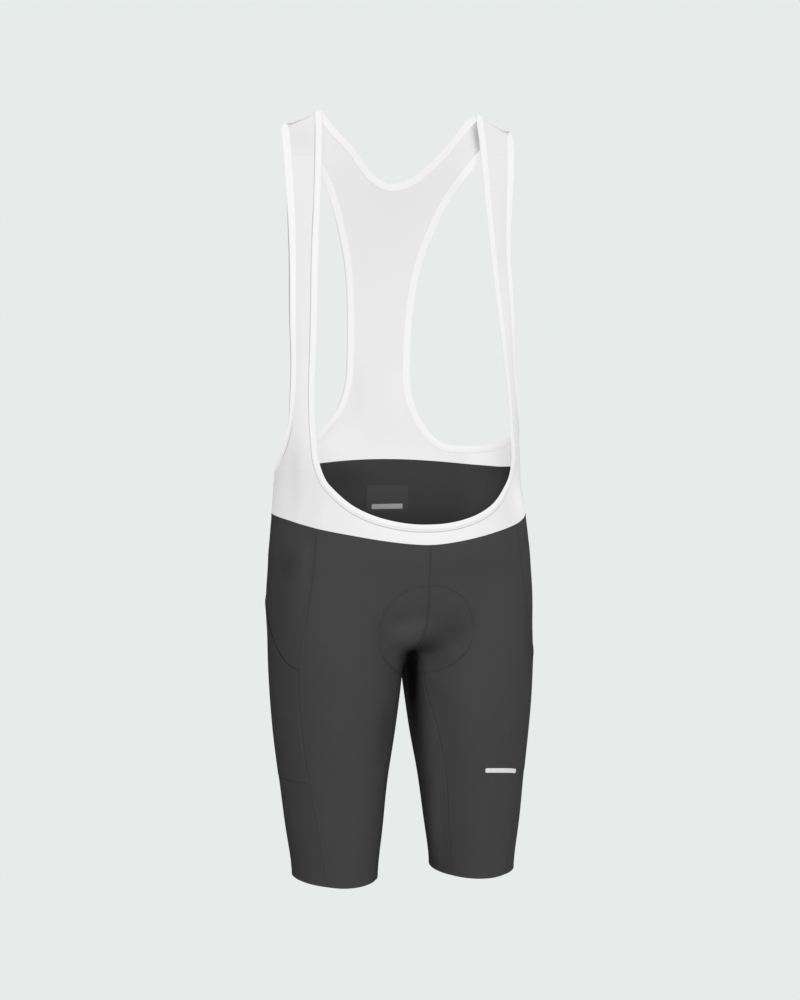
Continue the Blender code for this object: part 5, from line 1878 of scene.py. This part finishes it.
@dataclass
class PlainMarks:
    """The bare places of printed marks: a plain patch with a bar inside the back, and a bar on the thigh.

    Attributes:
        patch_size: width and height of the patch.
        patch_at: its middle on the form, in the tables' place.
        patch_bar: width and height of its bar.
        patch_bar_down: how far its bar lies below its middle.
        thigh_size: width and height of the thigh bar.
        thigh_at: its middle.
        thigh_lean: its lean and bow.
        corners: corner radius of the patch, its bar and the thigh bar.
        levels: inner and outer face of each above the form.
        grid: points up and across each.
    """

    patch_size: Pair = (0.054, 0.033)
    patch_at: Triple = (0.0134, 0.1050, -0.4715)
    patch_bar: Pair = (0.040, 0.0062)
    patch_bar_down: float = 0.0098
    thigh_size: Pair = (0.046, 0.0056)
    thigh_at: Triple = (0.1020, -0.0680, -0.7880)
    thigh_lean: Pair = (-0.0024, -0.0013)
    corners: Triple = (1.5 * MM, 0.8 * MM, 2.5 * MM)
    levels: tuple[Pair, ...] = ((-0.36 * MM, -0.024 * MM), (-0.456 * MM, -0.348 * MM), (0.98 * MM, 1.22 * MM))
    grid: tuple[int, int] = (15, 41)

    def film(self, kit: Kit, middle: Sequence[float], size: Pair, corner: float, level: Pair,
             lean: Pair = (0.0, 0.0)) -> Shape:
        """A thin printed film with rounded corners on the form.

        Formula: with u and v from -1 to 1, the place across is (w - r) u + r u (1 - v^4)^0.5 and the place
        up is h v + lean u + bow u^2, laid on the form.

        Args:
            kit: the shared form.
            middle: its middle.
            size: width and height.
            corner: corner radius r.
            level: its inner and outer face above the form.
            lean: the lean and the bow, which keep a bar straight round a tapered leg.

        Returns:
            The shape.
        """
        at = np.array(middle)
        out = unit(kit.figure.slope(at[None]))[0]
        across = unit(np.cross(UP, out))
        up = np.cross(out, across)
        rows, columns = self.grid
        v, u = np.meshgrid(np.linspace(1.0, -1.0, rows), np.linspace(-1.0, 1.0, columns), indexing="ij")
        wide, tall = size[0] / 2.0, size[1] / 2.0
        x = (wide - corner) * u + corner * u * np.sqrt(1.0 - v ** 4)
        y = tall * v + lean[0] * u + lean[1] * u * u
        grid = kit.figure.settle(at + x[..., None] * across + y[..., None] * up)
        patch = Patch(grid, np.stack([x, tall * v], axis=-1)).turned(kit.figure)
        return Wall([patch], *level, [], relief=kit.relief).shape(kit.figure)

    def build(self, kit: Kit) -> None:
        """Makes the patch, its bar and the thigh bar."""
        down = np.array(self.patch_at) - self.patch_bar_down * UP
        rows = (("inner_patch", "patch", self.patch_at, self.patch_size, (0.0, 0.0)),
                ("inner_patch_bar", "patch_bar", down, self.patch_bar, (0.0, 0.0)),
                ("thigh_bar", "thigh_print", self.thigh_at, self.thigh_size, self.thigh_lean))
        for (name, finish, at, size, lean), corner, level in zip(rows, self.corners, self.levels):
            kit.dress(name, self.film(kit, at, size, corner, level, lean), finish, Slot.SHORTS)


@dataclass
class Studio:
    """The seamless pale room, the soft light in front and the camera.

    Attributes:
        paper: colour of floor and air as the camera sees them.
        floor_glow: light that the floor gives back.
        sky: strength of the even light from above the floor.
        floor: height of the floor.
        floor_reach: how far it runs out to each side.
        floor_cells: its cells along a side.
        lamps: name, place, side and power of each square soft light.
        camera_at: the camera's place.
        camera_turn: its rotation in degrees.
        lens: focal length and width of the frame in mm.
        aim: where the lamps face.
    """

    paper: Triple = (0.799, 0.838, 0.823)
    floor_glow: float = 0.10
    sky: float = 0.50
    floor: float = -1.45
    floor_reach: float = 60.0
    floor_cells: int = 8
    lamps: tuple[tuple[str, Triple, float, float], ...] = (
        ("key_light", (-0.90, -3.90, 0.30), 2.4, 138.0),
        ("left_light", (-4.20, -0.80, -0.40), 3.0, 22.0),
        ("right_light", (4.20, -0.80, -0.40), 3.0, 58.0),
    )
    camera_at: Triple = (-0.9147, -2.8201, -0.2490)
    camera_turn: Triple = (86.0, 0.0, -18.0)
    lens: Pair = (88.49, 36.0)
    aim: Triple = (0.0, 0.0, -0.45)

    def glow(self, tree: NodeTree, kind: str, given: float) -> NodeSocket:
        """A light that looks like the paper to the camera and gives a plain white strength to the rest."""
        g = Graph(tree)
        seen = g.node("ShaderNodeLightPath").outputs["Is Camera Ray"]
        strength = g.math("ADD", g.math("MULTIPLY", seen, 1.0 - given), given)
        colour = g.mix(seen, tint((1.0, 1.0, 1.0)), tint(self.paper))
        return g.fill(g.node(kind), Color=colour, Strength=strength).outputs[0]

    def ground(self) -> Object:
        """A wide flat floor in the paper's colour."""
        lines = np.linspace(-self.floor_reach, self.floor_reach, self.floor_cells + 1)
        x, y = np.meshgrid(lines, lines)
        grid = np.stack([x, y, np.full(x.shape, self.floor)], axis=-1).reshape(-1, 3)
        faces = cells(*x.shape)[:, ::-1]
        material, g, shader = new_material("studio_floor")
        tree = g.tree
        tree.nodes.remove(shader)
        tree.links.new(self.glow(tree, "ShaderNodeEmission", self.floor_glow),
                       tree.nodes["Material Output"].inputs["Surface"])
        return Shape(grid + WEAR_POINT, faces, grid[faces][..., :2]).to_object("studio_floor", material)

    def lamp(self, name: str, place: Triple, size: float, power: float) -> Object:
        """A square soft light that faces the garment's middle."""
        lamp = bpy.data.lights.new(name, "AREA")
        lamp.energy, lamp.size = power, size
        thing = placed(name, lamp)
        thing.location = place
        toward = np.array(self.aim) - np.array(place)
        thing.rotation_euler = (math.atan2(math.hypot(toward[0], toward[1]), -toward[2]), 0.0,
                                math.atan2(toward[1], toward[0]) - math.pi / 2.0)
        return thing

    def build(self) -> None:
        """Makes the floor, the air, the lights and the camera."""
        scene = bpy.context.scene
        self.ground()
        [self.lamp(*row) for row in self.lamps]
        world = bpy.data.worlds.new("studio_air")
        world.use_nodes = True
        tree = world.node_tree
        tree.nodes.remove(tree.nodes["Background"])
        tree.links.new(self.glow(tree, "ShaderNodeBackground", self.sky),
                       tree.nodes["World Output"].inputs["Surface"])
        scene.world = world
        scene.view_settings.view_transform = "Standard"
        lens = bpy.data.cameras.new("camera")
        lens.lens, lens.sensor_width = self.lens
        camera = placed("camera", lens)
        camera.location = self.camera_at
        camera.rotation_euler = tuple(math.radians(angle) for angle in self.camera_turn)
        scene.camera = camera


def finishes() -> dict[str, Material]:
    """Every finish by name."""
    effects = Effects()
    # inside=0.80 paints shade on the inner faces of the shorts, pocket and inner leg.
    shorts = Knit("shorts_knit", (0.052, 0.052, 0.0525), inside=0.80)
    # The white knit, net, tape and white thread get a painted glow in their own colour through `through`.
    white = Knit("bib_knit", (0.35, 0.35, 0.35), 1700.0, 1500.0, 0.05 * MM, 0.03, 0.05, 0.06, through=1.25)
    made = {
        "shorts": shorts,
        "pocket": replace(shorts, name="pocket_knit", along=1250.0),
        "inner_leg": replace(shorts, name="inner_leg_knit", along=1400.0),
        "bib_front": white,
        "bib_back": replace(white, name="bib_mesh", colour=(0.22, 0.2185, 0.2185), depth=0.04 * MM,
                            patches=0.02, speckle=0.03, through=2.7, net=2.1 * MM, net_shade=0.96),
        # The tape's seam shade darkens its painted shade lines beside the cloth, along the fold and in the
        # groove.
        "tape": Knit("edge_tape", (0.30, 0.30, 0.30), 900.0, 2600.0, 0.06 * MM, 0.02, 0.03, 0.60,
                     through=1.93),
        "pad": Knit("pad_foam", (0.030, 0.030, 0.034), 900.0, 900.0, 0.2 * MM, 0.1, 0.3, sheen=0.1),
        "patch": Knit("inner_patch_print", (0.050, 0.050, 0.051), 1500.0, 1300.0, 0.05 * MM, 0.05, 0.1),
        "dark_thread": Thread("dark_thread", (0.030, 0.030, 0.031), 0.75),
        # Near-black thread: the pocket's edge row, painted shadow under the edge, and the inner back seam
        # row.
        "seam_and_edge_shadow_thread": Thread("seam_and_edge_shadow_thread", (0.004, 0.004, 0.004), 0.9),
        "pad_thread": Thread("pad_thread", (0.010, 0.010, 0.010), 0.8),
        "white_thread": Thread("white_thread", (0.34, 0.34, 0.34), 0.75, 1.9),
        "patch_bar": Thread("patch_bar_print", (0.34, 0.34, 0.34), 0.6),
        "thigh_print": Thread("thigh_print", (0.80, 0.80, 0.80), 0.5),
    }
    return {name: finish.material(effects) for name, finish in made.items()}


def main() -> None:
    """Builds the sub-assemblies in order."""
    logging.basicConfig(level=logging.INFO, format="%(message)s")
    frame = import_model()
    log.info("frame: %s", type(frame).__name__)
    cuts = {side: Cut(side) for side in Side}
    for cut in cuts.values():
        cut.draw_seams()
        cut.draw_openings()
    pad = SeatPad()
    grid = pad.grid(cuts[Side.LEFT])
    outline = chain(grid[:, 0], grid[-1], grid[::-1, -1])
    kit = Kit(cuts, finishes(), outline)
    for part in (Shorts(), Bib(), EdgeTapes(), SeamThreads()):
        part.build(kit)
        log.info("%s: done", type(part).__name__)
    pad.build(kit, grid)
    PlainMarks().build(kit)
    Studio().build()


if __name__ == "__main__":
    main()
